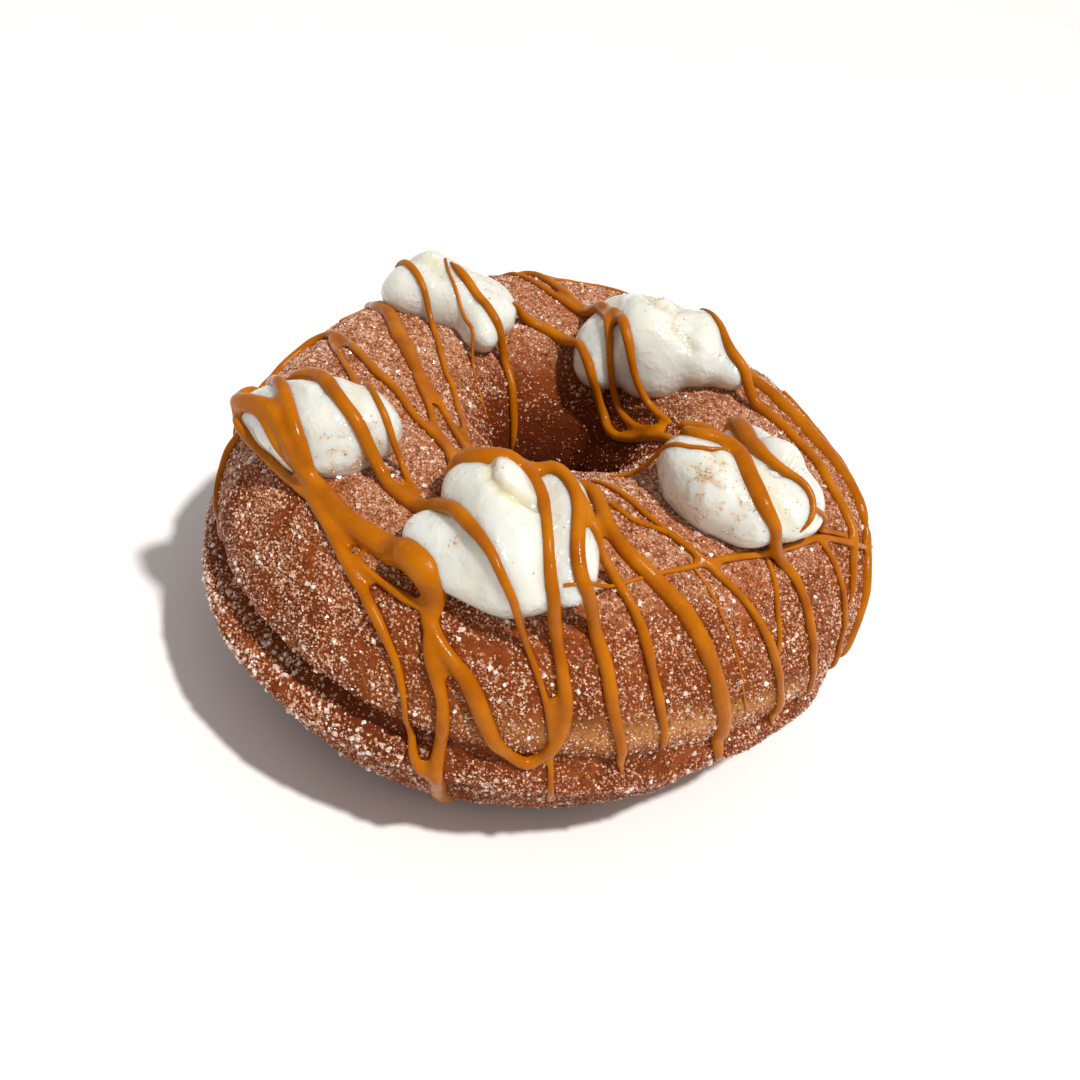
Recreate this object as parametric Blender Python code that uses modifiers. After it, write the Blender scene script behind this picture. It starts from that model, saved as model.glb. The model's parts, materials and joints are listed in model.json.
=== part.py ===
"""Churro doughnut: a sugared ring of fried dough with a creased waist, five dollops of
whipped cream on its crest, and caramel run over both in strands."""

from math import atan2, ceil, cos, degrees, exp, hypot, pi, radians, sin, sqrt

import bmesh
import bpy
import numpy as np
from mathutils import Matrix, Vector
from mathutils.bvhtree import BVHTree

MM = 0.001

# Ring of dough, in millimetres. A place on it is given by its angle round the ring (0 at +X,
# anticlockwise from above) and its angle round the section (0 outer waist, 90 crest, 180 hole).
OUTER_RADIUS = 51.0
OUTLINE_WAVES = ((2, -2.0, 0.9), (3, 1.6, -1.0), (4, 1.0, 0.0))  # waves a turn, cosine, sine
HOLE_RADIUS = 8.4
HOLE_OFFSET = 2.2  # the hole sits this far back of the middle
RISE = 46.4  # height of the risen section before it settles
RISE_TILT = (1.9, -1.0)  # more rise towards +X and towards -Y
SETTLE = 2.2  # how far the underside is flattened
SQUARENESS = 0.88  # power of the section's sine and cosine: 1 is an ellipse
UNDERCUT = 0.11  # the underside is this much narrower
LUMPS = ((5, 1, 0.30, 0.4), (9, 2, 0.22, 2.1), (3, 3, 0.25, 4.0))  # waves round ring, section, mm, phase
CENTRE = (-1.3, -0.2)  # moves the ring's middle so that the origin is below the whole

# Proof line: the groove left where the dough's two fried halves meet.
CREASE_HEIGHT = (-0.5, 6.0, 205.0)  # mean section angle, swing, ring angle of its highest place
CREASE_WIDTH = 5.0
CREASE_DEPTH = (0.8, 1.8)  # everywhere, and more at the deep place
DEEP_PLACE = (232.0, 24.0)  # ring angle and spread
LIP_DROP = 11.0  # the swollen lip is this many degrees under the groove
LIP_WIDTH = 6.0
LIP_HEIGHT = 0.8

RING_SEGMENTS = 60
SECTION_SEGMENTS = 30
WAIST_CROWDING = 0.55  # 0 spreads the section's rows evenly, more crowds them at the waist

GAP = 0.35  # clear space between cream and what lies round it

# Dollops: the ring and section angle that each sits at, then its lobes. A lobe is an ellipsoid
# in the dollop's own frame: along the ring, outward across it, height of its middle, three radii
# and the turn of the long one.
DOLLOPS = {
    "cream_back_left": (141.0, 88.0, (
        (3.4, 5.2, 1.6, 5.2, 4.5, 4.4, 60),
        (-0.6, 5.4, 3.4, 4.4, 3.8, 4.5, 45),
        (0.8, 1.4, 1.6, 6.6, 4.6, 4.4, 70),
        (-2.0, 0.8, 2.2, 6.4, 4.6, 4.3, -60),
        (-5.0, -3.8, 1.3, 6.4, 4.2, 3.9, -60),
        (0.9, -6.8, 0.9, 5.6, 3.0, 3.6, -62))),
    "cream_back_right": (62.5, 112.0, (
        (0.3, 0.2, 4.6, 7.6, 7.2, 7.0, 45),
        (6.4, -4.4, 2.4, 7.4, 4.6, 4.8, 50),
        (-6.0, 5.4, 2.6, 7.2, 4.4, 4.7, 50),
        (-9.8, 5.8, 0.9, 6.0, 3.4, 3.4, 15),
        (6.6, 2.6, 2.8, 6.4, 4.8, 5.4, 0),
        (-3.4, 2.8, 3.0, 6.0, 4.4, 4.9, 50),
        (-3.0, -2.4, 1.4, 5.2, 4.2, 4.4, -35))),
    "cream_right": (327.0, 86.5, (
        (-6.3, -2.0, 2.8, 7.6, 4.9, 5.4, 98),
        (-1.0, 0.8, 2.4, 8.6, 4.8, 4.4, 115),
        (-4.2, 3.2, 2.2, 5.8, 4.0, 4.4, 100),
        (-3.6, -4.8, 2.4, 5.4, 4.4, 4.6, 60),
        (4.4, 2.4, 2.2, 9.0, 5.0, 4.6, 120),
        (6.6, 4.4, 1.6, 6.2, 3.6, 3.6, 115),
        (6.4, -4.2, 2.0, 5.6, 4.4, 4.2, 110),
        (5.4, 0.6, 6.6, 2.9, 2.0, 1.8, 90))),
    "cream_front": (267.0, 68.5, (
        (-1.3, -1.0, 4.0, 9.8, 6.0, 5.6, 62),
        (-7.3, 1.8, 1.6, 7.0, 4.6, 3.6, 37),
        (1.0, 4.4, 2.2, 6.4, 4.2, 4.2, 0),
        (6.0, -3.4, 3.0, 9.8, 4.2, 4.4, 72),
        (-5.6, -6.0, 3.2, 6.4, 4.6, 4.6, 20),
        (-1.9, -5.2, 8.2, 3.7, 2.4, 2.4, 60))),
    "cream_left": (218.5, 68.0, (
        (-0.8, -0.2, 3.3, 9.4, 6.6, 5.4, -54),
        (2.2, -3.9, 2.0, 6.2, 5.4, 4.2, -60),
        (-6.0, 5.2, 2.0, 5.8, 4.4, 4.0, -50),
        (3.0, 0.4, 1.2, 6.2, 4.8, 4.2, -50))),
}
LOBE_SEGMENTS = (24, 16)
CREAM_VOXEL = 0.6
CREAM_SMOOTHING = 6
SOFTNESS = 0.9  # how far the lobes of a dollop run into each other
MELT_PASSES = 8
CREAM_FACES = 520
RING_TRIANGLES = 9500
DOLLOP_TRIANGLES = 820

# Caramel strands: (ring angle, section angle, width), from where each was poured to its drip.
STRANDS = {
    "back_left_broad": ((147, 35, 1.6), (150, 50, 2.0), (153, 58, 2.6), (154, 64, 3.0), (156, 71, 3.0),
                        (162, 83, 3.0), (170, 90, 2.9), (179, 98, 2.8), (188, 103, 2.7), (197, 107, 2.5),
                        (208, 109, 2.3), (217, 109, 2.1), (227, 107, 2.1), (236, 103, 2.2), (246, 93, 2.2),
                        (254, 80, 2.3)),
    "back_left_branch": ((192, 104, 1.5), (198, 109, 1.7), (204, 113, 1.7), (212, 114, 1.6), (221, 113, 1.6),
                         (232, 110, 1.7), (240, 105, 1.9), (248, 94, 1.9), (255, 82, 2.0)),
    "over_peak": ((147, 60, 1.0), (147, 68, 1.2), (149, 74, 1.4), (150, 79, 1.4), (151, 83, 1.3),
                  (152, 88, 1.2), (154, 93, 1.2), (162, 103, 1.2), (170, 109, 1.2), (178, 114, 1.2),
                  (189, 120, 1.2), (209, 120, 1.2), (226, 116, 1.3), (238, 107, 1.5), (247, 97, 1.5)),
    "down_far_wall": ((139, 82, 1.4), (140, 87, 1.8), (140, 92, 1.9), (139, 97, 1.9), (139, 102, 1.8),
                      (140, 107, 1.7), (140, 112, 1.6), (136, 117, 1.6), (135, 122, 1.6), (134, 130, 1.6),
                      (136, 140, 1.6), (138, 150, 1.5), (138, 164, 1.4)),
    "left_long": ((194, 18, 1.3), (186, 28, 1.5), (176, 38, 1.6), (169, 48, 1.6), (171, 60, 1.6),
                  (177, 72, 1.6), (188, 84, 1.6), (196, 90, 1.6), (206, 94, 1.7), (212, 97, 1.7),
                  (219, 100, 1.7), (227, 102, 1.8), (234, 101, 1.9), (242, 96, 1.9), (250, 85, 2.0)),
    "left_thin": ((171, 56, 1.0), (178, 66, 1.0), (186, 74, 1.1), (194, 81, 1.4), (204, 84, 1.4),
                  (214, 83, 1.3), (222, 82, 1.2), (227, 82, 1.2), (231, 82, 1.2), (235, 83, 1.1),
                  (239, 81, 1.1), (243, 79, 1.1), (246, 77, 1.4)),
    "left_middle": ((205, 60, 1.6), (208, 66, 1.9), (211, 70, 2.1), (214, 72, 2.3), (218, 73, 2.3),
                    (222, 73, 2.2), (226, 74, 2.0), (230, 75, 1.9), (234, 76, 1.9), (238, 75, 2.0),
                    (242, 74, 2.2), (246, 75, 2.5), (249, 74, 2.5), (252, 72, 2.4), (255, 71, 2.2),
                    (259, 67, 2.0), (262, 64, 1.9), (265, 60, 1.7), (267, 56, 1.5), (270, 51, 1.3),
                    (272, 46, 1.1), (275, 37, 1.1), (278, 26, 1.1), (280, 14, 1.0), (282, 2, 1.0),
                    (283, -9, 1.1), (285, -24, 1.2)),
    "left_second": ((196, 46, 1.5), (203, 55, 1.8), (209, 61, 2.0), (213, 62, 2.1), (217, 62, 2.2),
                    (221, 61, 2.3), (224, 60, 2.3), (228, 58, 2.6)),
    "left_sheet": ((201, 40, 1.8), (206, 45, 2.1), (210, 50, 2.5), (213, 54, 2.6), (216, 57, 2.6),
                   (219, 58, 2.6), (222, 58, 2.6), (226, 56, 2.8), (229, 57, 3.1), (233, 58, 3.2),
                   (238, 57, 3.2), (242, 56, 3.3), (246, 56, 3.8), (250, 55, 4.5), (253, 54, 5.0),
                   (256, 51, 4.8), (257, 46, 3.8), (259, 41, 3.1)),
    "left_sheet_edge": ((209, 46, 1.6), (212, 51, 1.8), (215, 54, 1.8), (218, 55, 1.8), (221, 54, 1.8),
                        (225, 54, 1.9)),
    "left_skirt": ((210, 45, 1.7), (212, 46, 1.9), (214, 46, 2.0), (218, 48, 2.0), (222, 50, 2.0),
                   (226, 52, 2.0), (230, 52, 1.9)),
    "left_back": ((210, 45, 1.7), (208, 49, 1.8), (205, 53, 1.8), (201, 54, 1.7), (196, 50, 1.6)),
    "left_edge": ((200, 38, 1.6), (200, 22, 1.6), (203, 10, 1.5), (210, 6, 1.5), (217, 8, 1.4)),
    "front_left_long": ((225, 54, 1.8), (231, 53, 1.9), (237, 52, 1.9), (242, 50, 1.9), (247, 46, 2.1),
                        (251, 42, 2.1), (254, 36, 1.9), (256, 30, 1.5), (258, 24, 1.2), (260, 14, 1.0),
                        (261, 4, 1.0), (263, -3, 1.4), (266, -10, 1.9)),
    "front_link": ((246, 47, 1.1), (250, 46, 1.1), (254, 47, 1.4)),
    "front_tongue": ((251, 55, 3.0), (254, 56, 3.2), (256, 55, 3.2), (258, 53, 3.0), (258, 49, 2.6)),
    "front_loop": ((256, 46, 2.4), (258, 40, 2.4), (261, 35, 2.2), (264, 32, 2.0), (267, 27, 2.2),
                   (269, 21, 2.5), (271, 13, 2.4), (273, 6, 2.3), (276, 1, 2.1), (279, -2, 2.0),
                   (281, 1, 2.2), (282, 10, 2.3), (282, 20, 2.1), (280, 32, 2.0), (278, 43, 1.9),
                   (276, 51, 1.9), (274, 57, 1.9), (273, 63, 1.9), (272, 68, 1.8), (271, 73, 1.8),
                   (270, 76, 2.0), (268, 79, 2.1), (264, 81, 2.1)),
    "front_drip": ((258, 37, 2.3), (261, 31, 2.4), (263, 25, 2.1), (265, 18, 1.9), (266, 8, 1.9),
                   (266, -2, 2.2), (267, -13, 2.8), (267, -24, 2.9), (268, -34, 2.7), (269, -44, 2.0),
                   (270, -54, 1.0)),
    "front_second": ((250, 80, 1.8), (254, 78, 2.2), (256, 79, 2.5), (259, 80, 2.5), (262, 81, 2.5),
                     (265, 82, 2.5), (268, 84, 2.4), (271, 84, 2.3), (273, 80, 2.2), (275, 76, 2.2),
                     (276, 71, 2.2), (277, 65, 2.2), (278, 58, 2.2), (282, 54, 2.1), (284, 45, 2.1),
                     (287, 34, 2.0), (288, 23, 1.9), (290, 14, 1.9), (293, 0, 1.6), (294, -5, 1.0)),
    "front_third": ((265, 94, 1.3), (269, 91, 1.4), (272, 88, 1.4), (275, 84, 1.4), (278, 79, 1.4),
                    (280, 73, 1.5), (282, 68, 1.5), (286, 67, 1.5), (289, 60, 1.5), (292, 48, 1.6),
                    (294, 34, 1.6), (297, 18, 1.5), (300, 0, 1.3)),
    "front_fourth": ((268, 96, 1.8), (273, 100, 2.0), (279, 104, 2.2), (284, 104, 2.3), (286, 97, 2.4),
                     (286, 90, 2.4), (287, 83, 2.5), (289, 76, 2.7), (294, 66, 2.7), (300, 55, 2.7),
                     (304, 38, 2.7), (307, 24, 2.6), (311, 6, 2.5), (314, -12, 1.5)),
    "front_fourth_ridge": ((271, 96, 1.0), (276, 95, 1.2), (280, 91, 1.2), (283, 86, 1.2), (285, 80, 1.2)),
    "front_fifth": ((284, 112, 1.0), (290, 107, 1.0), (296, 94, 1.1), (302, 80, 1.2),
                    (308, 64, 1.3), (314, 50, 1.4), (318, 32, 1.4), (321, 16, 1.5),
                    (325, 2, 1.6), (327, -9, 1.2)),
    "cross": ((298, 66, 0.9), (306, 66, 1.1), (312, 66, 1.3), (316, 65, 1.3), (321, 63, 1.3),
              (327, 63, 1.3), (332, 61, 1.3), (337, 61, 1.3), (341, 57, 1.3), (346, 50, 1.3),
              (353, 37, 1.3), (1, 26, 1.2)),
    "right_second": ((338, 60, 1.1), (340, 46, 1.2), (340, 36, 1.2), (340, 22, 1.1), (341, 8, 1.1),
                     (343, -3, 1.0)),
    "right_edge": ((358, 42, 2.2), (355, 32, 2.2), (351, 26, 2.2), (348, 16, 2.1), (347, 5, 1.9),
                   (347, -4, 1.4)),
    "over_right": ((126, 103, 1.5), (118, 104, 1.7), (111, 108, 1.9), (105, 112, 2.0), (99, 120, 2.0),
                   (91, 128, 1.9), (82, 132, 1.8), (75, 136, 1.7), (69, 143, 1.6), (60, 149, 1.6),
                   (48, 150, 1.7), (34, 146, 1.9), (20, 138, 1.9), (8, 130, 1.8), (350, 120, 1.7),
                   (334, 113, 1.7), (323, 106, 1.7), (316, 100, 1.8), (317, 97, 2.0), (321, 95, 2.3),
                   (324, 93, 2.7), (324, 89, 3.0), (321, 85, 3.1), (319, 79, 3.1), (318, 74, 2.7),
                   (318, 70, 2.3), (321, 65, 2.0), (325, 60, 1.7), (327, 51, 1.6), (328, 38, 1.6),
                   (329, 24, 1.6), (331, 12, 1.5), (335, -6, 1.0)),
    "over_right_second": ((17, 126, 1.7), (11, 118, 1.9), (5, 111, 2.1), (359, 105, 2.3), (350, 102, 2.8),
                          (343, 99, 3.2), (337, 94, 3.3), (333, 90, 2.8), (330, 86, 2.1), (331, 81, 1.6),
                          (332, 76, 1.4), (332, 71, 1.3), (330, 66, 1.3), (326, 64, 1.3)),
    "over_right_thin": ((293, 114, 0.8), (300, 117, 0.9), (306, 111, 0.9), (309, 104, 0.9), (308, 98, 0.9),
                        (311, 94, 0.9), (315, 91, 1.0), (320, 90, 1.1)),
    "right_rim_inner": ((60, 90, 0.8), (54, 93, 0.8), (48, 95, 1.0), (44, 94, 1.3), (40, 95, 1.8),
                        (34, 96, 2.1), (28, 93, 2.1), (20, 88, 2.1), (12, 82, 2.1), (5, 76, 2.0),
                        (358, 71, 2.0), (354, 61, 1.9), (350, 50, 1.8), (346, 40, 1.6), (344, 32, 1.4),
                        (342, 26, 1.1)),
    "right_rim_outer": ((43, 84, 2.0), (37, 80, 2.6), (30, 77, 2.9), (22, 73, 3.0),
                        (16, 67, 3.0), (11, 60, 2.9), (5, 54, 2.7), (0, 48, 2.4), (357, 40, 2.2)),
    "back_long": ((112, 55, 1.4), (108, 62, 1.6), (105, 74, 1.6), (102, 84, 1.7), (100, 90, 1.9),
                  (95, 96, 2.2), (90, 105, 2.2), (85, 111, 2.1), (76, 116, 2.0), (64, 120, 1.8),
                  (57, 122, 1.7), (52, 125, 1.5), (48, 128, 1.4), (41, 130, 1.4), (30, 129, 1.5),
                  (20, 126, 1.7)),
    "back_second": ((115, 57, 1.2), (111, 70, 1.3), (108, 82, 1.4), (104, 90, 1.6), (99, 95, 1.8),
                    (93, 101, 1.8), (87, 112, 1.7), (79, 120, 1.5), (72, 125, 1.3), (68, 129, 1.3),
                    (65, 134, 1.3), (60, 139, 1.3), (50, 141, 1.5), (38, 141, 1.7), (26, 137, 1.8),
                    (16, 129, 1.9)),
    "back_edge": ((114, 64, 1.0), (108, 58, 1.1), (100, 58, 1.1), (90, 60, 1.1), (82, 65, 1.1),
                  (77, 74, 1.0)),
}
STRAND_STEP = 3.4  # length between points along a strand
STRAND_SAG = 0.3  # how far a stretch may hang below the line between its neighbours
BEAD_BASE = 1.0  # a bead stands at most this much, plus a share of its width, off its bed
BEAD_SHARE = 0.22
BEAD_MOST = 0.72  # and at most this share of its width
STRAND_SIDES = 1  # a curve's bevel resolution: 6 sides
DRAPE_REACH = 30.0  # strands are laid down from this height

COLOURS = {
    "sugared_ring": ((0.42, 0.17, 0.075), 0.75),
    "cream": ((0.88, 0.86, 0.79), 0.35),
}


def clear_scene():
    """Remove what the file holds, so that a second run starts afresh."""
    for item in list(bpy.data.objects):
        bpy.data.objects.remove(item, do_unlink=True)
    for group in list(bpy.data.collections):
        bpy.data.collections.remove(group)


def signed_power(value, power):
    return abs(value) ** power * (1 if value >= 0 else -1)


def bump(offset, width):
    """A smooth hill of height 1, for a distance in degrees that may wrap round."""
    offset = (offset + 180) % 360 - 180
    return exp(-(offset / width) ** 2)


def crease_height(angle):
    """Section angle of the proof line at a place round the ring, both in degrees."""
    mean, swing, highest = CREASE_HEIGHT
    return mean + swing * cos(radians(angle - highest))


def relief(angle, section):
    """How far the dough stands off its plain form: the groove, the lip under it and lumps."""
    crease = crease_height(angle)
    everywhere, deeper = CREASE_DEPTH
    depth = everywhere + deeper * bump(angle - DEEP_PLACE[0], DEEP_PLACE[1])
    height = -depth * bump(section - crease, CREASE_WIDTH)
    height += LIP_HEIGHT * bump(section - crease + LIP_DROP, LIP_WIDTH)
    for round_ring, round_section, size, phase in LUMPS:
        height += size * sin(radians(round_ring * angle) + phase) * cos(
            radians(round_section * section) + 2 * phase)
    return height


def ring_point(angle, section, proud=0.0):
    """A point of the dough's surface in metres, from its two angles in degrees."""
    turn, roll = radians(angle), radians(section)
    outer = OUTER_RADIUS
    for waves, cosine, sine in OUTLINE_WAVES:
        outer += cosine * cos(waves * turn) + sine * sin(waves * turn)
    hole = HOLE_OFFSET * sin(turn) + sqrt(HOLE_RADIUS ** 2 - (HOLE_OFFSET * cos(turn)) ** 2)
    middle, reach = (outer + hole) / 2, (outer - hole) / 2
    rise = RISE + RISE_TILT[0] * cos(turn) + RISE_TILT[1] * sin(turn)
    across = signed_power(cos(roll), SQUARENESS) * reach * (1 - UNDERCUT * max(-sin(roll), 0))
    up = rise / 2 * (1 + signed_power(sin(roll), SQUARENESS))
    stand = relief(angle, section) + proud
    radius = middle + across + stand * cos(roll)
    height = max(up + stand * sin(roll) - SETTLE, 0)
    return Vector((radius * cos(turn) + CENTRE[0], radius * sin(turn) + CENTRE[1], height)) * MM


def ring_frame(angle, section):
    """A surface point with its axes: along the ring, outward across it, and off the surface."""
    step = 0.5
    point = ring_point(angle, section)
    along = (ring_point(angle + step, section) - ring_point(angle - step, section)).normalized()
    over = (ring_point(angle, section + step) - ring_point(angle, section - step)).normalized()
    off = along.cross(over).normalized()
    if off.dot(point - ring_core(angle)) < 0:
        off.negate()
    across = off.cross(along).normalized()
    if across.dot(over) > 0:
        across.negate()
    return point, along, across, off


def ring_core(angle):
    """The middle of the section at a place round the ring."""
    return (ring_point(angle, 0) + ring_point(angle, 180)) / 2


def new_material(name, colour, roughness):
    material = bpy.data.materials.new(name)
    material.use_nodes = True
    shader = material.node_tree.nodes["Principled BSDF"]
    shader.inputs["Base Color"].default_value = (*colour, 1)
    shader.inputs["Roughness"].default_value = roughness
    shader.inputs["Metallic"].default_value = 0.0
    return material


def new_object(name, mesh, group):
    item = bpy.data.objects.new(name, mesh)
    group.objects.link(item)
    return item


def new_group(name):
    group = bpy.data.collections.new(name)
    bpy.context.scene.collection.children.link(group)
    return group


def drop_object(item):
    """Remove an object with its mesh or curve."""
    data = item.data
    bpy.data.objects.remove(item, do_unlink=True)
    if isinstance(data, bpy.types.Mesh):
        bpy.data.meshes.remove(data)
    else:
        bpy.data.curves.remove(data)


def apply_modifiers(item):
    """Swap an object's mesh for its evaluated one."""
    bpy.context.view_layer.update()
    graph = bpy.context.evaluated_depsgraph_get()
    old = item.data
    item.data = bpy.data.meshes.new_from_object(item.evaluated_get(graph))
    item.modifiers.clear()
    bpy.data.meshes.remove(old)


def combine(item, operation, group):
    """Boolean of an object with everything in a collection."""
    cut = item.modifiers.new(operation.lower(), "BOOLEAN")
    cut.operation = operation
    cut.operand_type = "COLLECTION"
    cut.collection = group
    cut.solver = "MANIFOLD"
    apply_modifiers(item)


def thin_out(item, triangles):
    """Merge the slivers that joining leaves, down to a number of triangles."""
    count = sum(len(face.vertices) - 2 for face in item.data.polygons)
    thin = item.modifiers.new("thin", "DECIMATE")
    thin.ratio = min(1.0, triangles / count)
    thin.use_collapse_triangulate = True
    apply_modifiers(item)
    mend(item)


def mend(item):
    """Close the few tears that merging slivers can leave."""
    cage = bmesh.new()
    cage.from_mesh(item.data)
    torn = [edge for edge in cage.edges if len(edge.link_faces) != 2]
    ragged = {face for edge in torn for corner in edge.verts for face in corner.link_faces}
    bmesh.ops.delete(cage, geom=list(ragged), context="FACES")
    bmesh.ops.delete(cage, geom=[corner for corner in cage.verts if not corner.link_faces], context="VERTS")
    rims = [edge for edge in cage.edges if len(edge.link_faces) == 1]
    patches = bmesh.ops.holes_fill(cage, edges=rims, sides=0)["faces"]
    bmesh.ops.triangulate(cage, faces=patches)
    cage.to_mesh(item.data)
    cage.free()


def keep_largest(item):
    """Drop loose scraps: only the largest connected body stays."""
    cage = bmesh.new()
    cage.from_mesh(item.data)
    left, bodies = set(cage.verts), []
    while left:
        body, front = set(), [left.pop()]
        while front:
            corner = front.pop()
            body.add(corner)
            near = {edge.other_vert(corner) for edge in corner.link_edges} & left
            left -= near
            front.extend(near)
        bodies.append(body)
    bodies.sort(key=len, reverse=True)
    for body in bodies[1:]:
        bmesh.ops.delete(cage, geom=list(body), context="VERTS")
    cage.to_mesh(item.data)
    cage.free()


def make_dough(name, group, proud=0.0):
    """The ring: a torus whose rows crowd at the waist, moved onto the dough's surface."""
    bpy.ops.mesh.primitive_torus_add(
        major_segments=RING_SEGMENTS, minor_segments=SECTION_SEGMENTS, major_radius=1.0, minor_radius=0.5)
    torus = bpy.context.object
    mesh = torus.data
    for corner in mesh.vertices:
        x, y, z = corner.co
        angle = degrees(atan2(y, x))
        roll = atan2(z, hypot(x, y) - 1.0)
        section = degrees(roll - WAIST_CROWDING * sin(roll))
        corner.co = ring_point(angle, section + crease_height(angle) * bump(section, 40), proud)
    mesh.name = name
    bpy.data.objects.remove(torus)
    return new_object(name, mesh, group)


def lobe_field(places, lobes):
    """Depth outside a soft union of lobes, and its slope, at places in the lobes' frame."""
    total, slope = np.zeros(len(places)), np.zeros_like(places)
    for u, v, n, long, wide, high, turn in lobes:
        spin = np.array(Matrix.Rotation(radians(turn), 3, "Z"))
        sizes = np.array((long, wide, high))
        inner = (places - (u, v, n)) @ spin
        near = np.linalg.norm(inner / sizes, axis=1)
        far = np.linalg.norm(inner / sizes ** 2, axis=1) + 1e-6
        weight = np.exp(-near * (near - 1) / far / SOFTNESS)
        total += weight
        slope += (weight / far)[:, None] * (inner / sizes ** 2 @ spin.T)
    return -SOFTNESS * np.log(total), slope / total[:, None]


def make_lobes(name, group):
    """A dollop's ellipsoids, run into one soft body and thinned to few faces."""
    angle, section, lobes = DOLLOPS[name]
    cage = bmesh.new()
    for u, v, n, long, wide, high, turn in lobes:
        place = Matrix.Translation((u, v, n)) @ Matrix.Rotation(radians(turn), 4, "Z")
        size = Matrix.Diagonal((long + SOFTNESS, wide + SOFTNESS, high + SOFTNESS, 1))
        bmesh.ops.create_uvsphere(
            cage, u_segments=LOBE_SEGMENTS[0], v_segments=LOBE_SEGMENTS[1], radius=1.0, matrix=place @ size)
    bmesh.ops.recalc_face_normals(cage, faces=cage.faces)
    mesh = bpy.data.meshes.new(name)
    cage.to_mesh(mesh)
    cage.free()
    item = new_object(name, mesh, group)
    melt = item.modifiers.new("melt", "REMESH")
    melt.mode = "VOXEL"
    melt.voxel_size = CREAM_VOXEL
    soften = item.modifiers.new("soften", "SMOOTH")
    soften.iterations = CREAM_SMOOTHING
    apply_modifiers(item)

    places = np.array([corner.co for corner in item.data.vertices])
    for _ in range(MELT_PASSES):
        depth, slope = lobe_field(places, lobes)
        places -= slope * (depth / np.sum(slope ** 2, axis=1))[:, None]
    for corner, place in zip(item.data.vertices, places):
        corner.co = place
    point, along, across, off = ring_frame(angle, section)
    base = Matrix((along, across, off)).transposed().to_4x4()
    base.translation = point
    item.data.transform(base @ Matrix.Scale(MM, 4))
    if base.determinant() < 0:
        item.data.flip_normals()
    thin_out(item, CREAM_FACES)
    return item


def surface_tree(item):
    cage = bmesh.new()
    cage.from_mesh(item.data)
    tree = BVHTree.FromBMesh(cage)
    cage.free()
    return tree


def between(before, start, end, after, share):
    """Catmull-Rom value between two route points."""
    return 0.5 * (2 * start + (end - before) * share
                  + (2 * before - 5 * start + 4 * end - after) * share ** 2
                  + (3 * start - before - 3 * end + after) * share ** 3)


def smooth_route(route):
    """Points an even step apart on a smooth curve through a strand's route."""
    rows = [list(route[0])]
    for angle, section, width in route[1:]:
        turn = (angle - rows[-1][0] + 180) % 360 - 180
        rows.append([rows[-1][0] + turn, section, width])
    rows = [rows[0]] + rows + [rows[-1]]
    fine = []
    for before, start, end, after in zip(rows, rows[1:], rows[2:], rows[3:]):
        for part in range(20):
            fine.append([between(*values, part / 20) for values in zip(before, start, end, after)])
    fine.append(rows[-1])
    places = [ring_point(angle, section) for angle, section, width in fine]
    lengths = [0.0]
    for near, far in zip(places, places[1:]):
        lengths.append(lengths[-1] + (far - near).length / MM)
    count = max(2, ceil(lengths[-1] / STRAND_STEP))
    picked, index = [], 0
    for part in range(count + 1):
        goal = lengths[-1] * part / count
        while index < len(fine) - 1 and lengths[index] < goal - 1e-6:
            index += 1
        picked.append(fine[index])
    return picked


def bead_lift(width):
    """Height of a strand's middle over its bed, so that wide ones spread and lie flatter."""
    return min(BEAD_MOST * width, BEAD_BASE + BEAD_SHARE * width) - width / 2


def lay_strand(route, creams):
    """Lay a strand on dough and cream: its points, radii and the dollop under each point."""
    feet, heights, under = [], [], []
    for angle, section, width in smooth_route(route):
        point, along, across, off = ring_frame(angle, section)
        height, name = 0.0, None
        for cream, tree in creams.items():
            hit = tree.ray_cast(point + off * DRAPE_REACH * MM, -off, DRAPE_REACH * MM)
            if hit[0] is not None and DRAPE_REACH - hit[3] / MM > height:
                height, name = DRAPE_REACH - hit[3] / MM, cream
        feet.append((point, off, width))
        heights.append(height)
        under.append(name)
    bridged = list(heights)
    for spot in range(1, len(heights) - 1):
        line = (heights[spot - 1] + heights[spot + 1]) / 2
        bridged[spot] = max(heights[spot], line - STRAND_SAG)
    points = [point + off * (height + bead_lift(width)) * MM
              for (point, off, width), height in zip(feet, bridged)]
    return points, [width / 2 for point, off, width in feet], under


def make_tube(name, points, radii, group, extra=0.0):
    """A capped tube through the points; extra makes it fatter and longer all round."""
    points = [point.copy() for point in points]
    points[0] += (points[0] - points[1]).normalized() * extra * MM
    points[-1] += (points[-1] - points[-2]).normalized() * extra * MM
    curve = bpy.data.curves.new(name, "CURVE")
    curve.dimensions = "3D"
    curve.bevel_depth = MM
    curve.bevel_resolution = STRAND_SIDES
    curve.use_fill_caps = True
    line = curve.splines.new("POLY")
    line.points.add(len(points) - 1)
    for knot, point, radius in zip(line.points, points, radii):
        knot.co = (*point, 1)
        knot.radius = radius + extra
    guide = new_object(name, curve, group)
    bpy.context.view_layer.update()
    mesh = bpy.data.meshes.new_from_object(guide.evaluated_get(bpy.context.evaluated_depsgraph_get()))
    drop_object(guide)
    cage = bmesh.new()
    cage.from_mesh(mesh)
    bmesh.ops.remove_doubles(cage, verts=cage.verts, dist=1e-6)
    bmesh.ops.triangulate(cage, faces=cage.faces)
    bmesh.ops.recalc_face_normals(cage, faces=cage.faces)
    cage.to_mesh(mesh)
    cage.free()
    return new_object(name, mesh, group)


def cream_runs(points, radii, under, name):
    """The stretches of a strand that lie on one dollop, with a point more at each end."""
    runs, start = [], None
    for spot in range(len(points) + 1):
        here = spot < len(points) and under[spot] == name
        if here and start is None:
            start = max(spot - 1, 0)
        if not here and start is not None:
            stop = min(spot + 1, len(points))
            if stop - start > 1:
                runs.append((points[start:stop], radii[start:stop]))
            start = None
    return runs


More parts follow.
